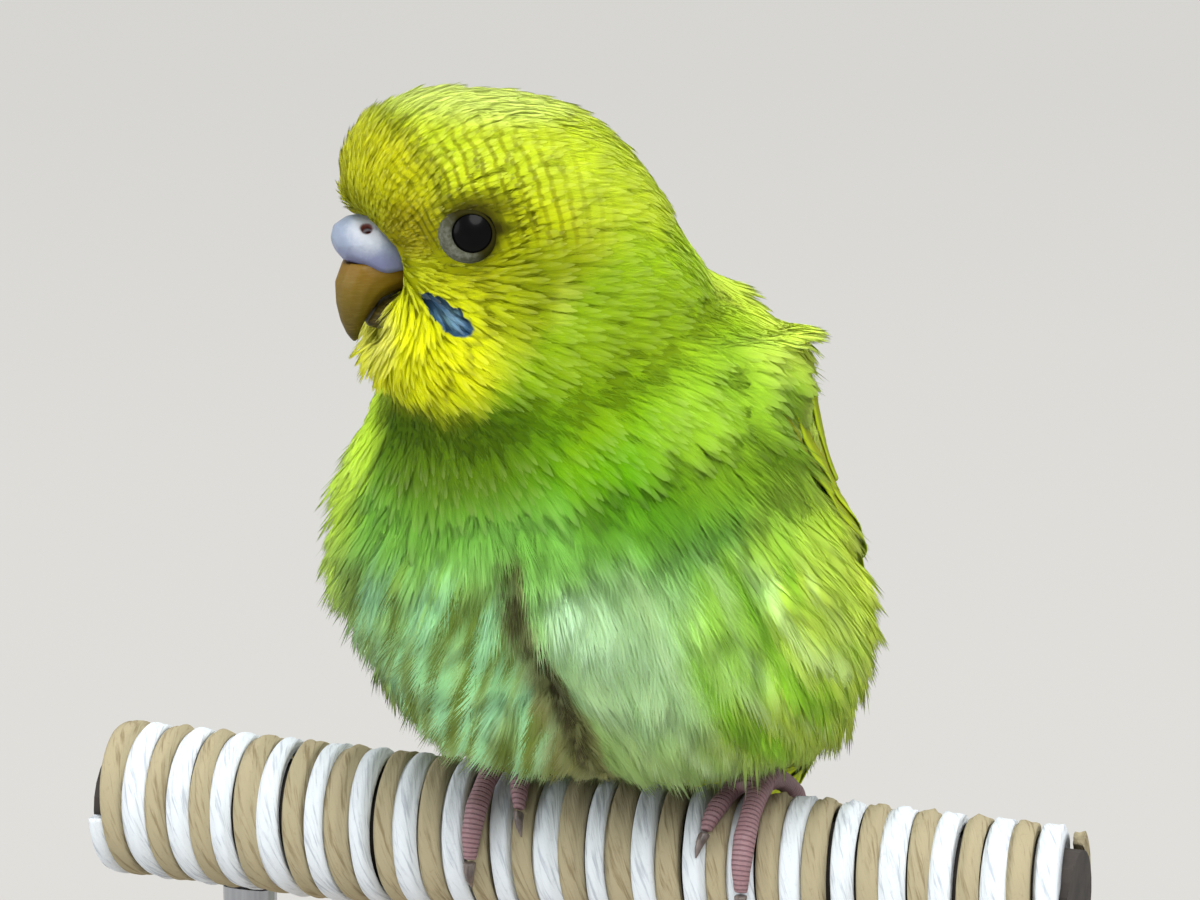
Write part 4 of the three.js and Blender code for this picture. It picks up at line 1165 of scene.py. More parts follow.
@dataclass
class WingOutline:
    """Edges of the folded wings: how far round from the breast they lie, in degrees, at each height."""

    heights: tuple[float, ...] = (59, 49, 38.5, 29, 19)
    left_front: tuple[float, ...] = (52, 74, 104, 120, 130)
    right_front: tuple[float, ...] = (78, 92, 110, 121, 130)
    rear: tuple[float, ...] = (136, 156, 166, 169, 168)

    def edge(self, values: tuple[float, ...], height: Array) -> Array:
        """Edge at a height."""
        return np.interp(height, self.heights[::-1], values[::-1])

    def within(self, turned: Array, height: Array, margin: float) -> Array:
        """How far a place is inside the wing, positive inside, in degrees less the margin."""
        front = np.where(turned > 0, self.edge(self.left_front, height), self.edge(self.right_front, height))
        size = np.abs(turned)
        inside = np.minimum(size - front, self.edge(self.rear, height) - size) - margin
        return np.where((height < self.heights[0] + 1) & (height > self.heights[-1]), inside, -90)


@dataclass
class Skin:
    """One skin under the whole coat, inside the solids of the flesh by the depth of the coat."""

    frame: dict
    space: Space
    outline: WingOutline
    trunk_depth: float = 2.3
    head_depth: float = 1.2
    face_depth: float = 0.5
    voxel: float = 0.9
    passes: int = 7
    hem: float = 10.4  # height at which the lowest feathers of the belly end
    shortest: float = 3.2
    bill_margin: float = 0.45  # bare skin next to the bill
    eye_depth: float = 0.35
    eye_hollow: float = 1.1  # depth inside the opening of an eye, behind the front of its ball
    lobe_depth: float = 1.2  # how much deeper the skin lies at the belly's right side
    shoulder_depth: float = 1.3
    tuft: tuple[float, float, float] = (10.4, 3.8, 63.6)  # feathers that stand up on the shoulder
    nodes: tuple[str, ...] = ("head", "neck", "torso", "wing_left", "wing_right", "eye_left", "eye_right")

    def build(self, material: bpy.types.Material) -> bpy.types.Object:
        """Makes the skin with the fields that its feathers follow."""
        piece = rounded(self.frame, self.nodes, "skin", self.voxel, self.passes)
        outside = self.space.bird(corners(piece.data))
        facing = unit(normals(piece.data))
        near_bill = np.linalg.norm(outside - self.space.bill(), axis=1)
        headness = self.headness(outside)
        depth = lerp(self.trunk_depth, self.head_depth, headness)
        depth = lerp(self.face_depth, depth, smooth(near_bill, 6, 15))
        for side in (-1, 1):
            depth = depth * smooth(np.linalg.norm(outside - self.space.eye_middle(side), axis=1), 3.6, 6.5)
        depth = np.maximum(depth, self.eye_depth)
        for side in (-1, 1):
            rim = np.linalg.norm(outside - self.space.eye_opening(side), axis=1)
            depth = lerp(self.eye_hollow, depth, smooth(rim, 2.0, 2.8))
        turned = np.abs(np.degrees(np.arctan2(outside[:, 0], -(outside[:, 1] + 1))))
        shoulder = smooth(outside[:, 2], 44, 54) * smooth(turned, 55, 80) * (1 - headness)
        depth = lerp(depth, self.shoulder_depth, shoulder)
        left_lobe = smooth(-outside[:, 0], 8, 16) * smooth(-outside[:, 2], -38, -28) * smooth(-outside[:, 1], 0, 12)
        depth = depth + self.lobe_depth * left_lobe
        inside = outside - facing * depth[:, None]
        place_corners(piece.data, self.space.metres(inside))
        piece.data.materials.append(material)
        unwrap(piece)
        self._write_fields(piece.data, outside, facing, headness, near_bill)
        return piece

    @staticmethod
    def headness(points: Array) -> Array:
        """How far a place belongs to the head, across a neck that slants up to the nape."""
        level = points[:, 2] - 0.12 * points[:, 0] - 0.28 * points[:, 1]
        return smooth(level, 46, 57)

    def _write_fields(self, mesh: bpy.types.Mesh, points: Array, facing: Array, headness: Array,
                      near_bill: Array) -> None:
        """Stores lie, length, width and tract on the skin."""
        x, y, z = points.T
        turned = np.degrees(np.arctan2(x, -(y + 1)))
        front = smooth(-np.abs(turned), -80, -40)
        low = smooth(-z, -30, -8)
        from_bill = unit(points - self.space.bill())
        trunk = unit(np.stack([0.10 * np.sign(x) * (1 - low) * front, 0.34 + 0.25 * (1 - front), -np.ones_like(z)], 1))
        beside = x - self.space.parting(z)
        spread = np.exp(-(beside / 6) ** 2) * smooth(z, 10, 15) * smooth(-z, -38, -30) * (y < -12)
        trunk = unit(trunk + np.stack([np.sign(beside) * 0.55 * spread, 0 * x, 0 * x], 1))
        lie = from_bill * headness[:, None] + trunk * (1 - headness)[:, None]
        ahead = (points - self.space.head) @ self.space.ahead
        chin = smooth(-z, -64.5, -61.5) * smooth(ahead, 4, 8) * smooth(-near_bill, -13, -8)
        gape = smooth(-z, -66.5, -64.0) * smooth(ahead, 8.8, 10.6) * smooth(-near_bill, -8, -5.5)
        chin = np.maximum(chin, gape)
        puffed = unit(self.space.ahead * 1.0 - np.array([0, 0, 0.85]))
        lie = lerp(lie, puffed, chin[:, None] * 0.85)
        lobe = smooth(-beside, 1.5, 5) * smooth(-x, -2, 3) * smooth(z, 10, 14) * smooth(-z, -40, -32) * (y < -6)
        lie = lie + np.outer(lobe, [-0.5, 0, 0])
        tuft = np.exp(-(np.linalg.norm(points - np.array(self.tuft), axis=1) / 2.0) ** 2)
        lie = lerp(lie, unit(np.array([0.75, 0.5, -0.3])), tuft[:, None])
        top = smooth(z, 51, 56) * smooth(np.abs(turned), 68, 88) * (1 - headness) * (1 - tuft)
        lie = lerp(lie, unit(np.array([0, 0.95, -0.45])), top[:, None])
        lie -= facing * np.sum(lie * facing, axis=1, keepdims=True)
        lie = unit(lie)
        lift = lerp(0.17 + 0.14 * low, 0.09, headness)
        lift = lerp(lift, 0.09, smooth(np.abs(turned), 75, 105) * smooth(z, 30, 40) * (1 - headness))
        lift = lerp(lift, 0.55, chin) + 0.8 * tuft
        lie = unit(lie + facing * lift[:, None])

        trunk_length = lerp(8.2, 11.0, low) * lerp(1.0, 0.62, smooth(np.abs(turned), 105, 140))
        head_length = lerp(1.7, 4.3, smooth(near_bill, 4, 20))
        length = lerp(trunk_length, head_length, smooth(headness, 0.4, 1.0)) * (1 + 0.5 * tuft)
        length = length * (1 - 0.5 * np.exp(-(beside / 2.2) ** 2) * spread)
        length = lerp(length, 4.2, chin)
        slim = lerp(0.27, 0.22, headness)
        hanging = np.clip((z - self.hem) / 0.86, self.shortest, None)
        length = np.where((z < 30) & (np.abs(turned) < 125), np.minimum(length, hanging), length)
        for side in (-1, 1):
            to_eye = self.space.eye_opening(side) - points
            rim = np.linalg.norm(to_eye, axis=1)
            faces_eye = smooth(np.sum(lie * unit(to_eye), axis=1), 0.1, 0.5)
            room = 0.8 + 0.95 * np.maximum(rim - 3.0, 0)
            length = np.minimum(length, lerp(length, room, faces_eye))
            length = np.minimum(length, lerp(1.5, 4.3, smooth(rim, 2.5, 7)) + 20 * smooth(rim, 7, 8))
        length = lerp(length, np.minimum(length, 5.0), smooth(z, 50, 56) * smooth(np.abs(turned), 65, 85) * (1 - tuft))
        inside_wing = self.outline.within(turned, z, 3)
        on_wing = inside_wing > 0
        length = np.where(on_wing, 4.8, length)
        slim = np.where(on_wing, 0.36, slim)
        store(mesh, "lie", "FLOAT_VECTOR", "POINT", lie)
        store(mesh, "plume_length", "FLOAT", "POINT", length * MM)
        store(mesh, "plume_width", "FLOAT", "POINT", length * slim * MM)
        store(mesh, "tract", "INT", "FACE", self._tracts(mesh, points, headness, near_bill, turned, on_wing))

    def _bill_distance(self, points: Array) -> Array:
        """Distance of each point from the bill and the cere."""
        graph = bpy.context.evaluated_depsgraph_get()
        nodes = ("cere", "upper_bill", "lower_bill")
        trees = [BVHTree.FromObject(self.frame["nodes"][node], graph) for node in nodes]
        places = self.space.metres(points)
        return np.array([min(tree.find_nearest(Vector(p))[3] for tree in trees) for p in places]) / MM

    def _tracts(self, mesh: bpy.types.Mesh, points: Array, headness: Array, near_bill: Array, turned: Array,
                on_wing: Array) -> Array:
        """Number of the tract of each face, by its first corner; 0 stays bare."""
        z = points[:, 2]
        number = np.full(len(points), Tract.RUMP.number)
        size = np.abs(turned)
        is_left = turned > 0
        number = np.where((size > 100) & (z > 30), Tract.MANTLE.number, number)
        side = np.where(is_left, Tract.FLANK_LEFT.number, Tract.FLANK_RIGHT.number)
        number = np.where((size > 52) & (size <= 118) & (z <= 46), side, number)
        belly = np.where(is_left, Tract.BELLY_LEFT.number, Tract.BELLY_RIGHT.number)
        number = np.where((size <= 52) & (z <= 26), belly, number)
        number = np.where((size <= 52) & (z > 26) | (size <= 100) & (z > 46), Tract.BREAST.number, number)
        number = np.where((headness > 0.12) & (size < 100), Tract.THROAT.number, number)
        crown = np.where((points - self.space.head) @ self.space.left > 0, Tract.CROWN_LEFT.number,
                         Tract.CROWN_RIGHT.number)
        number = np.where(headness > 0.72, crown, number)
        number = np.where((headness > 0.72) & (near_bill < 14.5), Tract.FACE.number, number)
        wing = np.where(is_left, Tract.WING_LEFT.number, Tract.WING_RIGHT.number)
        number = np.where(on_wing & (headness < 0.5), np.where(z > 38, wing, 0), number)
        for side in (-1, 1):
            from_eye = points - self.space.eye_opening(side)
            below = unit(self.space.ahead * 0.8 - np.array([0, 0, 0.6]))
            bare = lerp(2.05, 2.9, smooth(unit(from_eye) @ below, 0.2, 0.8))
            number = np.where(np.linalg.norm(from_eye, axis=1) < bare, 0, number)
        number = np.where(self._bill_distance(points) < self.bill_margin, 0, number)
        first = np.empty(len(mesh.polygons), int)
        mesh.polygons.foreach_get("loop_start", first)
        corner_of = np.empty(len(mesh.loops), int)
        mesh.loops.foreach_get("vertex_index", corner_of)
        return number[corner_of[first]].astype(np.int32)


@dataclass
class Coat:
    """Small feathers over the whole skin."""

    skin: bpy.types.Object
    finish: PlumageFinish

    def build(self) -> list[bpy.types.Object]:
        """Grows every tract and clears the feathers that were only patterns."""
        scatter = PlumeScatter()
        kinds = {kind: kind.variants() for kind in PlumeKind}
        pieces = []
        for tract in Tract:
            number, kind, spacing, jitter, tip, slot = tract.value
            name = f"coat_{tract.name.lower()}"
            scallop = 0.5 if kind is PlumeKind.COVERT else 0.0
            values = {
                "Tract": number, "Spacing": spacing * MM, "Plumes": kinds[kind], "Patch": BAKE_PATCH,
                "Jitter": jitter, "Seed": 40 + number,
                "Finish": self.finish.coat(f"{name}_feathers", tip, scallop),
            }
            piece = scatter.grow(self.skin, name, values)
            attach(piece, BODY)
            count = sum(len(face.vertices) - 2 for face in piece.data.polygons)
            LOG.info("%s: %d triangles", name, count)
            pieces.append(piece)
        for kept in kinds.values():
            for pattern in list(kept.objects):
                bpy.data.objects.remove(pattern)
            bpy.data.collections.remove(kept)
        return pieces


# Wings and tail


@dataclass
class Tier:
    """A row of large feathers on a folded wing.

    Heights are in millimetres over the bar and turns in degrees from the breast, at the root and the tip of the
    first and of the last feather.
    """

    name: str
    count: int
    wide: float
    blunt: float
    lift: tuple[float, float]
    root: tuple[tuple[float, float], tuple[float, float]]
    tip: tuple[tuple[float, float], tuple[float, float]]


@dataclass
class VaneSheet:
    """Collects large feathers, each a bent sheet with a raised shaft and a ragged edge, into one mesh."""

    rows: int = 22
    columns: int = 11
    points: list[Array] = field(default_factory=list)
    marks: list[Array] = field(default_factory=list)

    def outline(self, t: Array, blunt: float) -> Array:
        """Half width along a feather, of 1 at its widest."""
        root = 0.35 + 0.65 * np.minimum(1, t / 0.3)
        past = np.maximum(0, (t - blunt) / (1 - blunt))
        return root * np.maximum(np.sqrt(np.maximum(0, 1 - past ** 2)), 0.05)

    def add(self, place_at: Callable[[float, float], tuple[Array, Array]], wide: float, blunt: float,
            draw: np.random.Generator) -> None:
        """Adds one feather.

        Args:
            place_at: Gives a point and the way out of the body for a share along and a distance aside.
            wide: Greatest half width.
            blunt: Share of the length at which the tip starts to round.
            draw: Source of the ragged edge.
        """
        own = draw.uniform(0, 1)
        along = np.linspace(0, 1, self.rows)
        aside = np.linspace(-1, 1, self.columns)
        half = wide * self.outline(along, blunt)
        for t, reach in zip(along, half):
            ragged = draw.uniform(-0.12, 0.04, 2)
            for share in aside:
                fray = 1 + (ragged[0] if share < 0 else ragged[1]) * abs(share) ** 4
                at, out = place_at(t, share * reach * fray)
                crown = 0.16 * (1 - abs(share)) - 0.10 * share * share
                shaft = 0.14 * max(0.0, 1 - abs(share) * 6)
                self.points.append(at + out * (crown + shaft))
                self.marks.append(np.array([share, t, own]))

    def piece(self, name: str, material: bpy.types.Material, space: Space) -> bpy.types.Object:
        """Turns what was added into an object that has a wall and a place in the bake map for each feather."""
        size = self.rows * self.columns
        count = len(self.points) // size
        faces = [f for k in range(count) for f in grid_faces(self.rows, self.columns, start=k * size)]
        piece = make_mesh(name, space.metres(np.array(self.points)), faces, material)
        store(piece.data, "blade", "FLOAT_VECTOR", "POINT", np.array(self.marks))
        across = math.ceil(math.sqrt(count * 3))
        down = math.ceil(count / across)
        layer = piece.data.uv_layers.new(name=BAKE_MAP)
        corner_of = np.empty(len(piece.data.loops), int)
        piece.data.loops.foreach_get("vertex_index", corner_of)
        marks = np.array(self.marks)[corner_of]
        cell = corner_of // size
        u = (cell % across + 0.5 + marks[:, 0] * 0.46) / across
        v = (cell // across + 0.02 + marks[:, 1] * 0.96) / down
        layer.data.foreach_set("uv", np.stack([u, v], 1).ravel())
        wall = piece.modifiers.new("wall", "SOLIDIFY")
        wall.thickness = 0.12 * MM
        wall.offset = -1
        return settled(piece, name)


@dataclass
class Wings:
    """Folded wings: tiers of large feathers that follow the trunk."""

    frame: dict
    space: Space
    outline: WingOutline
    rump_top: float = 3.0
    tail_pitch: float = 66.0
    tiers: tuple[Tier, ...] = (
        Tier("primaries", 8, 3.0, 0.8, (1.3, 1.9), ((30, 126), (24, 145)), ((-13, 170), (9, 166))),
        Tier("secondaries", 9, 3.4, 0.76, (2.0, 1.9), ((38, 112), (40, 158)), ((22, 131), (14, 165))),
        Tier("great_coverts", 10, 3.0, 0.68, (2.3, 2.6), ((47, 86), (47, 156)), ((32, 116), (28, 163))),
        Tier("middle_coverts", 11, 2.6, 0.6, (2.5, 3.0), ((51, 78), (51, 152)), ((41, 96), (38, 160))),
    )

    def build(self, finish: VaneFinish) -> list[bpy.types.Object]:
        """Makes both wings."""
        trunk = rounded(self.frame, ("neck", "torso"), "trunk_guide", 1.2, 10)
        tree = BVHTree.FromObject(trunk, bpy.context.evaluated_depsgraph_get())
        material = finish.material()
        pieces = []
        for side, name in ((1, "left"), (-1, "right")):
            sheet = VaneSheet()
            draw = np.random.default_rng(5 + side)
            for tier in self.tiers:
                for k in range(tier.count):
                    share = k / (tier.count - 1)
                    sheet.add(self._placer(tree, tier, share, side, k), tier.wide, tier.blunt, draw)
            piece = sheet.piece(f"wing_feathers_{name}", material, self.space)
            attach(piece, BODY)
            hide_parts(f"wing_{name}")
            pieces.append(piece)
        bpy.data.objects.remove(trunk)
        return pieces

    def _surface(self, tree: BVHTree, height: float, turned: float) -> tuple[Array, Array]:
        """Point of the trunk and the way out of it at a height and a turn from the breast, in degrees."""
        angle = math.radians(turned)
        out = np.array([math.sin(angle), -math.cos(angle), 0.0])
        outside = np.array([0.0, -1.0, height]) + out * 60
        hit, normal, _, _ = tree.ray_cast(Vector(self.space.metres(outside)), Vector(-out))
        if hit is None:
            return np.array([0.0, -1.0, height]) + out * 5, out
        return self.space.bird(hit), unit(np.array(normal))

    def _placer(self, tree: BVHTree, tier: Tier, share: float, side: int,
                number: int) -> Callable[[float, float], tuple[Array, Array]]:
        """Place of a feather of a tier over the trunk, and straight on over the rump past its lowest point."""
        root = [lerp(a, b, share) for a, b in zip(*tier.root)]
        tip = [lerp(a, b, share) for a, b in zip(*tier.tip)]
        shingle = (number % 2) * 0.25 + 0.12 * share
        settled_in = min(1, 0.1 + share * 1.3)

        def place_at(t: float, aside: float) -> tuple[Array, Array]:
            height = lerp(root[0], tip[0], t)
            level = max(height, self.rump_top)
            front_gap = self.outline.edge(self.outline.right_front, height) \
                - self.outline.edge(self.outline.left_front, height)
            tuck = 0 if side > 0 else front_gap * (1 - share)
            turned = lerp(root[1], tip[1], t) + math.degrees(aside / 27) + tuck
            at, out = self._surface(tree, level, side * turned)
            past = level - height
            at = at + out * (lerp(*tier.lift, t) * settled_in + shingle)
            at[2] -= past
            at[1] += past / math.tan(math.radians(self.tail_pitch))
            at[0] *= 1 - past * 0.022
            return at, out

        return place_at


@dataclass
class Tail:
    """Long stepped tail with its coverts."""

    space: Space
    pitch: float = 66.0  # degrees below the horizontal
    root: tuple[float, float, float] = (0, 32.6, -1)
    lengths: tuple[float, ...] = (80, 72, 62, 52, 43, 35)  # from the middle pair to the outer pair
    wide: float = 3.3

    def build(self, finish: VaneFinish) -> bpy.types.Object:
        """Makes the tail feathers and the coverts over their roots."""
        angle = math.radians(self.pitch)
        down = np.array([0, math.cos(angle), -math.sin(angle)])
        up = np.array([0, math.sin(angle), math.cos(angle)])
        sheet = VaneSheet(rows=26)
        draw = np.random.default_rng(9)
        for pair, length in enumerate(self.lengths):
            for side in (-1, 1):
                layer = 2.1 - 0.85 * pair - (0.42 if side > 0 else 0)
                spread = math.radians(pair * 1.7 + 0.5)
                along = down * math.cos(spread) + np.array([side * math.sin(spread), 0, 0])
                root = np.array(self.root) + down * 1.2 + up * layer * 0.75
                root[0] = side * (0.5 + pair * 0.55)
                across = np.cross(along, up)
                droop = 2 * length / self.lengths[0]

                def place_at(t: float, aside: float, root=root, along=along, across=across, length=length,
                             layer=layer, droop=droop) -> tuple[Array, Array]:
                    rise = layer * 0.25 * t - droop * t * t
                    return root + along * t * length + up * rise + across * aside, up

                sheet.add(place_at, self.wide, 0.82, draw)
        for above in (True, False):
            for step in range(5 if above else 3):
                share = step / 2 - 1 if above else step - 1
                self._add_covert(sheet, share, above, down, up, draw)
        piece = sheet.piece("tail_feathers", finish.material(), self.space)
        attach(piece, BODY)
        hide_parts("tail")
        return piece

    def _add_covert(self, sheet: VaneSheet, share: float, above: bool, down: Array, up: Array,
                    draw: np.random.Generator) -> None:
        """Adds a short feather over or under the root of the tail."""
        root = np.array(self.root) + down * -2.0 + up * (4.6 if above else -3.6)
        root[0] = share * 4.0
        along = unit(down + np.array([share * 0.14, 0, 0]))
        across = np.cross(along, up)
        length = (20 if above else 17) * (1 - 0.3 * abs(share))
        fall = -2.2 if above else 1.4

        def place_at(t: float, aside: float) -> tuple[Array, Array]:
            return root + along * t * length + up * fall * t + across * aside, up if above else -up

        sheet.add(place_at, 2.7, 0.62, draw)


# Head parts


@dataclass
class HeadParts:
    """Bill, cere, eyes and the bare rings round them."""

    frame: dict
    space: Space
    droop: float = 1.5  # how far the cere hangs over the sides of the bill
    flare: float = 0.7

    def build(self, cere: CereFinish, upper: BillFinish, lower: BillFinish,
              eye: EyeFinish) -> list[bpy.types.Object]:
        """Makes all of them."""
        pieces = [
            self._drooped(self._smoothed("cere", cere.material(), 0.2, 4)),
            self._smoothed("upper_bill", upper.material(), 0.2, 8),
            self._smoothed("lower_bill", lower.material(), 0.2, 6),
        ]
        ball, ring = eye.ball(), eye.ring()
        for side, name in ((1, "left"), (-1, "right")):
            pieces += self._eye(side, name, ball, ring)
        return pieces

    def _smoothed(self, node: str, material: bpy.types.Material, voxel: float,
                  passes: int) -> bpy.types.Object:
        """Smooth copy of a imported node."""
        piece = rounded(self.frame, (node,), f"{node}_smooth", voxel, passes)
        piece.data.materials.append(material)
        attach(piece, BODY)
        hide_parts(node)
        return piece

    def _drooped(self, piece: bpy.types.Object) -> bpy.types.Object:
        """Draws the lower rim of the cere down over the sides of the bill."""
        points = self.space.bird(corners(piece.data))
        from_head = points - self.space.head
        ahead = from_head @ self.space.ahead
        aside = from_head @ self.space.left
        fall = smooth(-ahead, -16.6, -12.4) * smooth(-points[:, 2], -70.2, -67.4) * smooth(np.abs(aside), 0.6, 2.6)
        points[:, 2] -= self.droop * fall
        points += np.outer(np.sign(aside) * fall * self.flare, self.space.left)
        place_corners(piece.data, self.space.metres(points))
        return piece

    def _eye(self, side: int, name: str, ball: bpy.types.Material,
             ring: bpy.types.Material) -> list[bpy.types.Object]:
        """Eyeball in its place with the lids round it."""
        middle = self.space.eye_middle(side)
        out = self.space.eye_way(side)
        up = np.array([0.0, 0.0, 1.0])
        fore = np.cross(up, out) * -side
        radius = self.space.eye_radius
        rows, around = 20, 40
        points = []
        for r in range(rows + 1):
            polar = math.pi * r / rows
            for c in range(around):
                turn = math.tau * c / around
                flat = math.sin(polar) * (fore * math.cos(turn) + up * math.sin(turn))
                points.append(middle + radius * (flat + out * math.cos(polar)))
        eyeball = make_mesh(f"eyeball_{name}", self.space.metres(np.array(points)),
                            grid_faces(rows + 1, around, True), ball)
        self._face_out(eyeball)
        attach(eyeball, BODY)
        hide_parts(f"eye_{name}")
        lids = self._lids(name, middle, out, fore, up, ring)
        return [eyeball, lids]

    def _lids(self, name: str, middle: Array, out: Array, fore: Array, up: Array,
              ring: bpy.types.Material) -> bpy.types.Object:
        """Bare ring: a low mound with small beads on it, wider ahead of and below the eye."""
        opening = self.space.eye_opening_radius
        level = math.sqrt(self.space.eye_radius ** 2 - opening ** 2)
        profile = ((0.0, -0.35), (0.02, 0.06), (0.18, 0.26), (0.4, 0.24), (0.7, 0.0), (1.0, -0.6))
        around = 72
        points = []
        lit = []
        for share, rise in profile:
            for c in range(around):
                turn = math.tau * c / around
                ahead = math.cos(turn + 0.6)
                wide = 0.85 + 0.6 * ahead
                lit.append(ahead * 0.5 + 0.5)
                radius = opening + share * wide
                bead = 0.03 * math.sin(turn * 24) * math.sin(math.pi * share)
                flat = fore * math.cos(turn) * 1.04 + up * math.sin(turn) * 1.0
                raised = rise * (0.7 + 0.3 * ahead) if rise > 0 else rise
                points.append(middle + flat * radius + out * (level + raised + bead))
        lids = make_mesh(f"lids_{name}", self.space.metres(np.array(points)),
                         grid_faces(len(profile), around, True), ring)
        store(lids.data, "lit", "FLOAT", "POINT", np.array(lit))
        self._face_out(lids)
        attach(lids, BODY)
        return lids

    @staticmethod
    def _face_out(piece: bpy.types.Object) -> None:
        """Merges doubled corners and turns the faces outwards."""
        merged = bmesh.new()
        merged.from_mesh(piece.data)
        bmesh.ops.remove_doubles(merged, verts=merged.verts, dist=0.000002)
        bmesh.ops.recalc_face_normals(merged, faces=merged.faces)
        merged.to_mesh(piece.data)
        merged.free()


# Feet, perch and stand


@dataclass
class Feet:
    """Scaled toes that grip the bar, and their claws."""

    frame: dict
    toes: tuple[str, ...] = ("inner_front", "outer_front", "outer_back", "inner_back")

    def build(self, skin: bpy.types.Material, horn: bpy.types.Material) -> list[bpy.types.Object]:
        """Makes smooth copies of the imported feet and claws."""
        pieces = []
        for side in ("left", "right"):
            foot = rounded(self.frame, (f"foot_{side}",), f"toes_{side}", 0.28, 5)
            foot.data.materials.append(skin)
            self._settle(foot, "foot_skin", f"foot_{side}")
            pieces.append(foot)
            for toe in self.toes:
                node = f"claw_{side}_{toe}"
                claw = rounded(self.frame, (node,), f"{node}_horn", 0.14, 2)
                claw.data.materials.append(horn)
                self._settle(claw, "claw", node)
                pieces.append(claw)
        return pieces

    @staticmethod
    def _settle(piece: bpy.types.Object, slot: str, node: str) -> None:
        """Puts a piece in a node's place."""
        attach(piece, BODY)
        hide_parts(node)


@dataclass
class PerchCord:
    """One of two paper cords wound round the bar side by side."""

    space: Space
    name: str
    start: float  # share of a turn by which this cord is ahead
    seed: int
    pitch: float = 5.4
    half_width: float = 1.32
    half_height: float = 0.82
    middle: float = 7.75  # distance of its middle line from the bar's axis
    length: float = 108.8
    steps: int = 110  # in a turn
    sides: int = 18

    def build(self, material: bpy.types.Material, slot: str) -> bpy.types.Object:
        """Winds the cord from one end of the bar to the other."""
        draw = np.random.default_rng(self.seed)
        turns = self.length / self.pitch
        count = int(turns * self.steps)
        bar = box_middle("perch_core") - self.space.grip
        along = np.arange(count + 1) / self.steps
        knots = np.arange(0, math.ceil(turns) + 2)
        drift = np.interp(along * 2, np.arange(len(knots) * 2), draw.normal(0, 0.16, len(knots) * 2))
        swell = 1 + np.interp(along * 3, np.arange(len(knots) * 3), draw.normal(-0.02, 0.1, len(knots) * 3))
        phase = np.cumsum(np.interp(along * 2, np.arange(len(knots) * 2), draw.uniform(0.02, 0.07, len(knots) * 2)))
        angle = math.tau * (along + self.start)
        x = bar[0] - self.length / 2 + along * self.pitch + drift
        radial = np.stack([np.zeros_like(angle), -np.sin(angle), np.cos(angle)], 1)
        centre = radial * self.middle
        centre[:, 0] = x
        turn = math.tau * np.arange(self.sides) / self.sides
        points = np.empty((count + 1, self.sides, 3))
        marks = np.empty((count + 1, self.sides, 3))
        side_axis = np.array([1.0, 0.0, 0.0])
        for j, t in enumerate(turn):
            folds = 0.09 * np.sin(5 * t + phase) + 0.05 * np.sin(9 * t - 1.7 * phase + 1)
            flat = self.half_width * swell * math.copysign(abs(math.cos(t)) ** 0.8, math.cos(t)) * (1 + folds)
            tall = self.half_height * math.copysign(abs(math.sin(t)) ** 0.85, math.sin(t)) * (1 + 1.6 * folds)
            points[:, j] = centre + side_axis * flat[:, None] + radial * tall[:, None]
            marks[:, j] = np.stack([np.full(count + 1, t / math.tau), along * math.tau * self.middle,
                                    np.full(count + 1, float(self.seed))], 1)
        low = bar[0] - self.length / 2
        points[..., 0] = np.clip(points[..., 0], low, low + self.length)
        flat_points = points.reshape(-1, 3)
        faces = grid_faces(count + 1, self.sides, True)
        faces.append(tuple(range(self.sides))[::-1])
        faces.append(tuple(count * self.sides + k for k in range(self.sides)))
        piece = make_mesh(self.name, self.space.metres(flat_points), [f[::-1] for f in faces], material)
        store(piece.data, "twist", "FLOAT_VECTOR", "POINT", marks.reshape(-1, 3))
        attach(piece, BODY)
        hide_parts(slot_node(slot))
        return piece


def slot_node(slot: str) -> str:
    """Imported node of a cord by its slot."""
    return {"white_cord": "perch_cord_white", "tan_cord": "perch_cord_tan"}[slot]


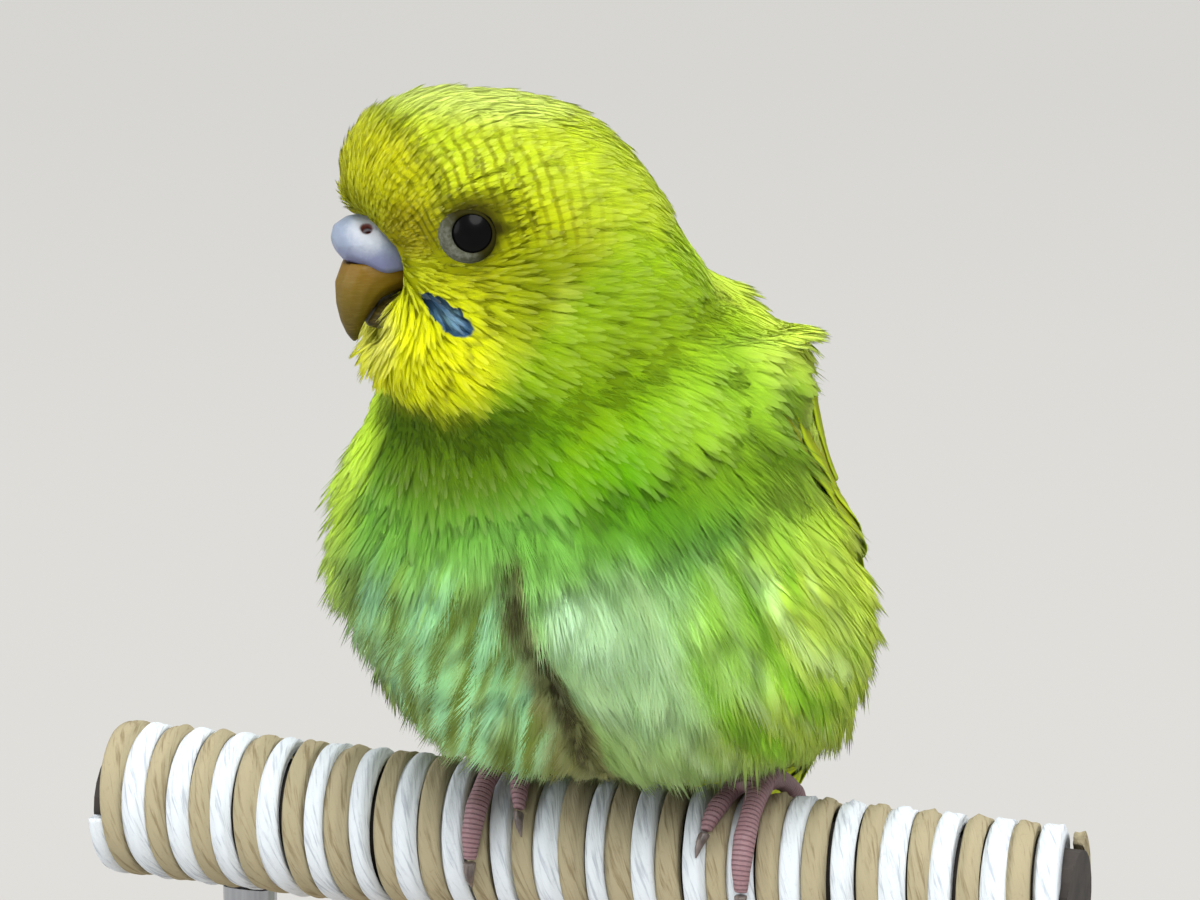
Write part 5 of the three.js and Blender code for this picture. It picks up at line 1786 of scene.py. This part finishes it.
@dataclass
class Studio:
    """Pale floor and wall, soft lights and the camera of the photograph."""

    space: Space
    look: tuple[float, float, float] = (-3.64, 9.05, 42.22)
    azimuth: float = 20.0
    elevation: float = 13.0
    distance: float = 400.0
    lens: float = 111.6
    sensor: float = 36.0

    def camera(self) -> bpy.types.Object:
        """Places the camera."""
        azimuth = math.radians(self.azimuth)
        elevation = math.radians(self.elevation)
        back = np.array([math.sin(azimuth) * math.cos(elevation), -math.cos(azimuth) * math.cos(elevation),
                         math.sin(elevation)])
        data = bpy.data.cameras.new("camera")
        data.lens = self.lens
        data.sensor_width = self.sensor
        data.clip_start = 0.01
        camera = bpy.data.objects.new("camera", data)
        camera.location = self.space.metres(np.array(self.look) + back * self.distance)
        camera.rotation_euler = Vector(back).to_track_quat("Z", "Y").to_euler()
        bpy.context.scene.collection.objects.link(camera)
        bpy.context.scene.camera = camera
        return camera

    def sweep(self) -> bpy.types.Object:
        """Floor that rises into a wall behind, seen from every side as a pale ground."""
        material, board = new_material("studio_sweep")
        cloud = board.noise(board.here(), 3.0, 2.0)
        base = board.mix(cloud, tone(92, 91, 89), tone(86, 85, 84))
        board.surface(base, 0.95, Specular_IOR_Level=0.05, Emission_Color=tone(226, 225, 221), Emission_Strength=0.78)
        rings = ((0.0, 0.0), (0.6, 0.0), (1.4, 0.0), (1.9, 0.08), (2.2, 0.35), (2.3, 0.9), (2.3, 2.4))
        around = 64
        points = [(r * math.cos(math.tau * k / around), r * math.sin(math.tau * k / around), h)
                  for r, h in rings[1:] for k in range(around)]
        points.append((0.0, 0.0, 0.0))
        faces = [f[::-1] for f in grid_faces(len(rings) - 1, around, True)]
        faces += [(len(points) - 1, k, (k + 1) % around) for k in range(around)]
        floor = make_mesh("studio_floor", np.array(points), faces, material)
        return floor

    def lights(self) -> None:
        """Soft lights from above, the left and the right."""
        plan = {
            "key": ((0.4, -0.8, 1.05), 0.9, 15.5, (1.0, 0.99, 0.96)),
            "fill": ((-0.95, -0.7, 0.4), 0.9, 6.0, (0.97, 0.99, 1.0)),
            "top": ((0.1, 0.35, 1.05), 0.7, 6.0, (1.0, 1.0, 1.0)),
        }
        target = Vector(self.space.metres(np.array([0, 0, 35])))
        for name, (place, size, power, colour) in plan.items():
            data = bpy.data.lights.new(name, "AREA")
            data.shape = "DISK"
            data.size = size
            data.energy = power
            data.color = colour
            light = bpy.data.objects.new(name, data)
            light.location = place
            light.rotation_euler = (Vector(place) - target).to_track_quat("Z", "Y").to_euler()
            bpy.context.scene.collection.objects.link(light)
        bpy.context.scene.view_settings.view_transform = "Standard"
        world = bpy.data.worlds.new("studio_air")
        world.use_nodes = True
        board = Board(world.node_tree)
        shader = board.add("ShaderNodeBackground", {}, {"Color": tone(238, 241, 246), "Strength": 0.5})
        board.add("ShaderNodeOutputWorld", {}, {"Surface": shader})
        bpy.context.scene.world = world


def dress_stand(frame: dict) -> None:
    """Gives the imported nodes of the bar's core and the stand their finishes."""
    wood = GrainFinish("stand_wood_oiled", tone(196, 160, 118), tone(150, 112, 74), 0.5, 60.0, (1.0, 12.0, 12.0),
                       0.0002, coat=0.15)
    steel = GrainFinish("stand_steel_brushed", tone(190, 192, 196), tone(150, 152, 158), 0.32, 400.0,
                        (1.0, 1.0, 0.05), 0.00002, metallic=1.0)
    core = GrainFinish("perch_core_dark", tone(52, 44, 38), tone(30, 26, 24), 0.7, 300.0)
    plan = {
        "stand_base": (wood, "stand_wood"),
        "stand_rod_left": (steel, "stand_metal"),
        "stand_rod_right": (steel, "stand_metal"),
        "perch_core": (core, "perch_core"),
    }
    made = {}
    for node, (finish, _) in plan.items():
        made.setdefault(finish.name, finish.material() if finish.name not in made else made[finish.name])
        data = frame["nodes"][node].data
        data.materials.clear()
        data.materials.append(made[finish.name])


def main() -> None:
    """Builds every piece in order."""
    logging.basicConfig(level=logging.INFO, format="%(message)s")
    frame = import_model()
    space = Space()
    studio = Studio(space)
    studio.camera()
    studio.sweep()
    studio.lights()

    outline = WingOutline()
    plumage = PlumageFinish(space)
    skin = Skin(frame, space, outline).build(plumage.skin())
    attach(skin, BODY)
    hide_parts("head", "neck", "torso")
    LOG.info("skin: %d faces", len(skin.data.polygons))
    Coat(skin, plumage).build()
    wing_vanes = VaneFinish("wing_vanes", tone(184, 206, 30), tone(146, 162, 22), tone(140, 138, 40))
    tail_vanes = VaneFinish("tail_vanes", tone(170, 196, 90), tone(92, 132, 120), tone(90, 88, 80))
    for piece in Wings(frame, space, outline).build(wing_vanes):
        LOG.info("%s: %d faces", piece.name, len(piece.data.polygons))
    tail = Tail(space).build(tail_vanes)
    LOG.info("%s: %d faces", tail.name, len(tail.data.polygons))
    upper = BillFinish(space, "bill_horn", tone(124, 88, 12), tone(104, 84, 10), tone(84, 70, 8), tone(58, 50, 8))
    lower = BillFinish(space, "lower_bill_horn", tone(66, 56, 12), tone(58, 50, 10), tone(52, 44, 8), tone(46, 40, 8))
    for piece in HeadParts(frame, space).build(CereFinish(space), upper, lower, EyeFinish()):
        LOG.info("%s: %d faces", piece.name, len(piece.data.polygons))
    horn = GrainFinish("claw_horn", tone(120, 108, 104), tone(74, 64, 62), 0.4, 1500.0, (1, 1, 0.3), 0.00005, coat=0.2)
    for piece in Feet(frame).build(ToeFinish(space).material(), horn.material()):
        LOG.info("%s: %d faces", piece.name, len(piece.data.polygons))
    white = PaperCordFinish("white_paper", tone(214, 221, 228), tone(160, 168, 180))
    tan = PaperCordFinish("tan_paper", tone(166, 156, 128), tone(120, 106, 78))
    PerchCord(space, "cord_white", 0.25, 3).build(white.material(), "white_cord")
    PerchCord(space, "cord_tan", 0.75, 8).build(tan.material(), "tan_cord")
    dress_stand(frame)


if __name__ == "__main__":
    main()
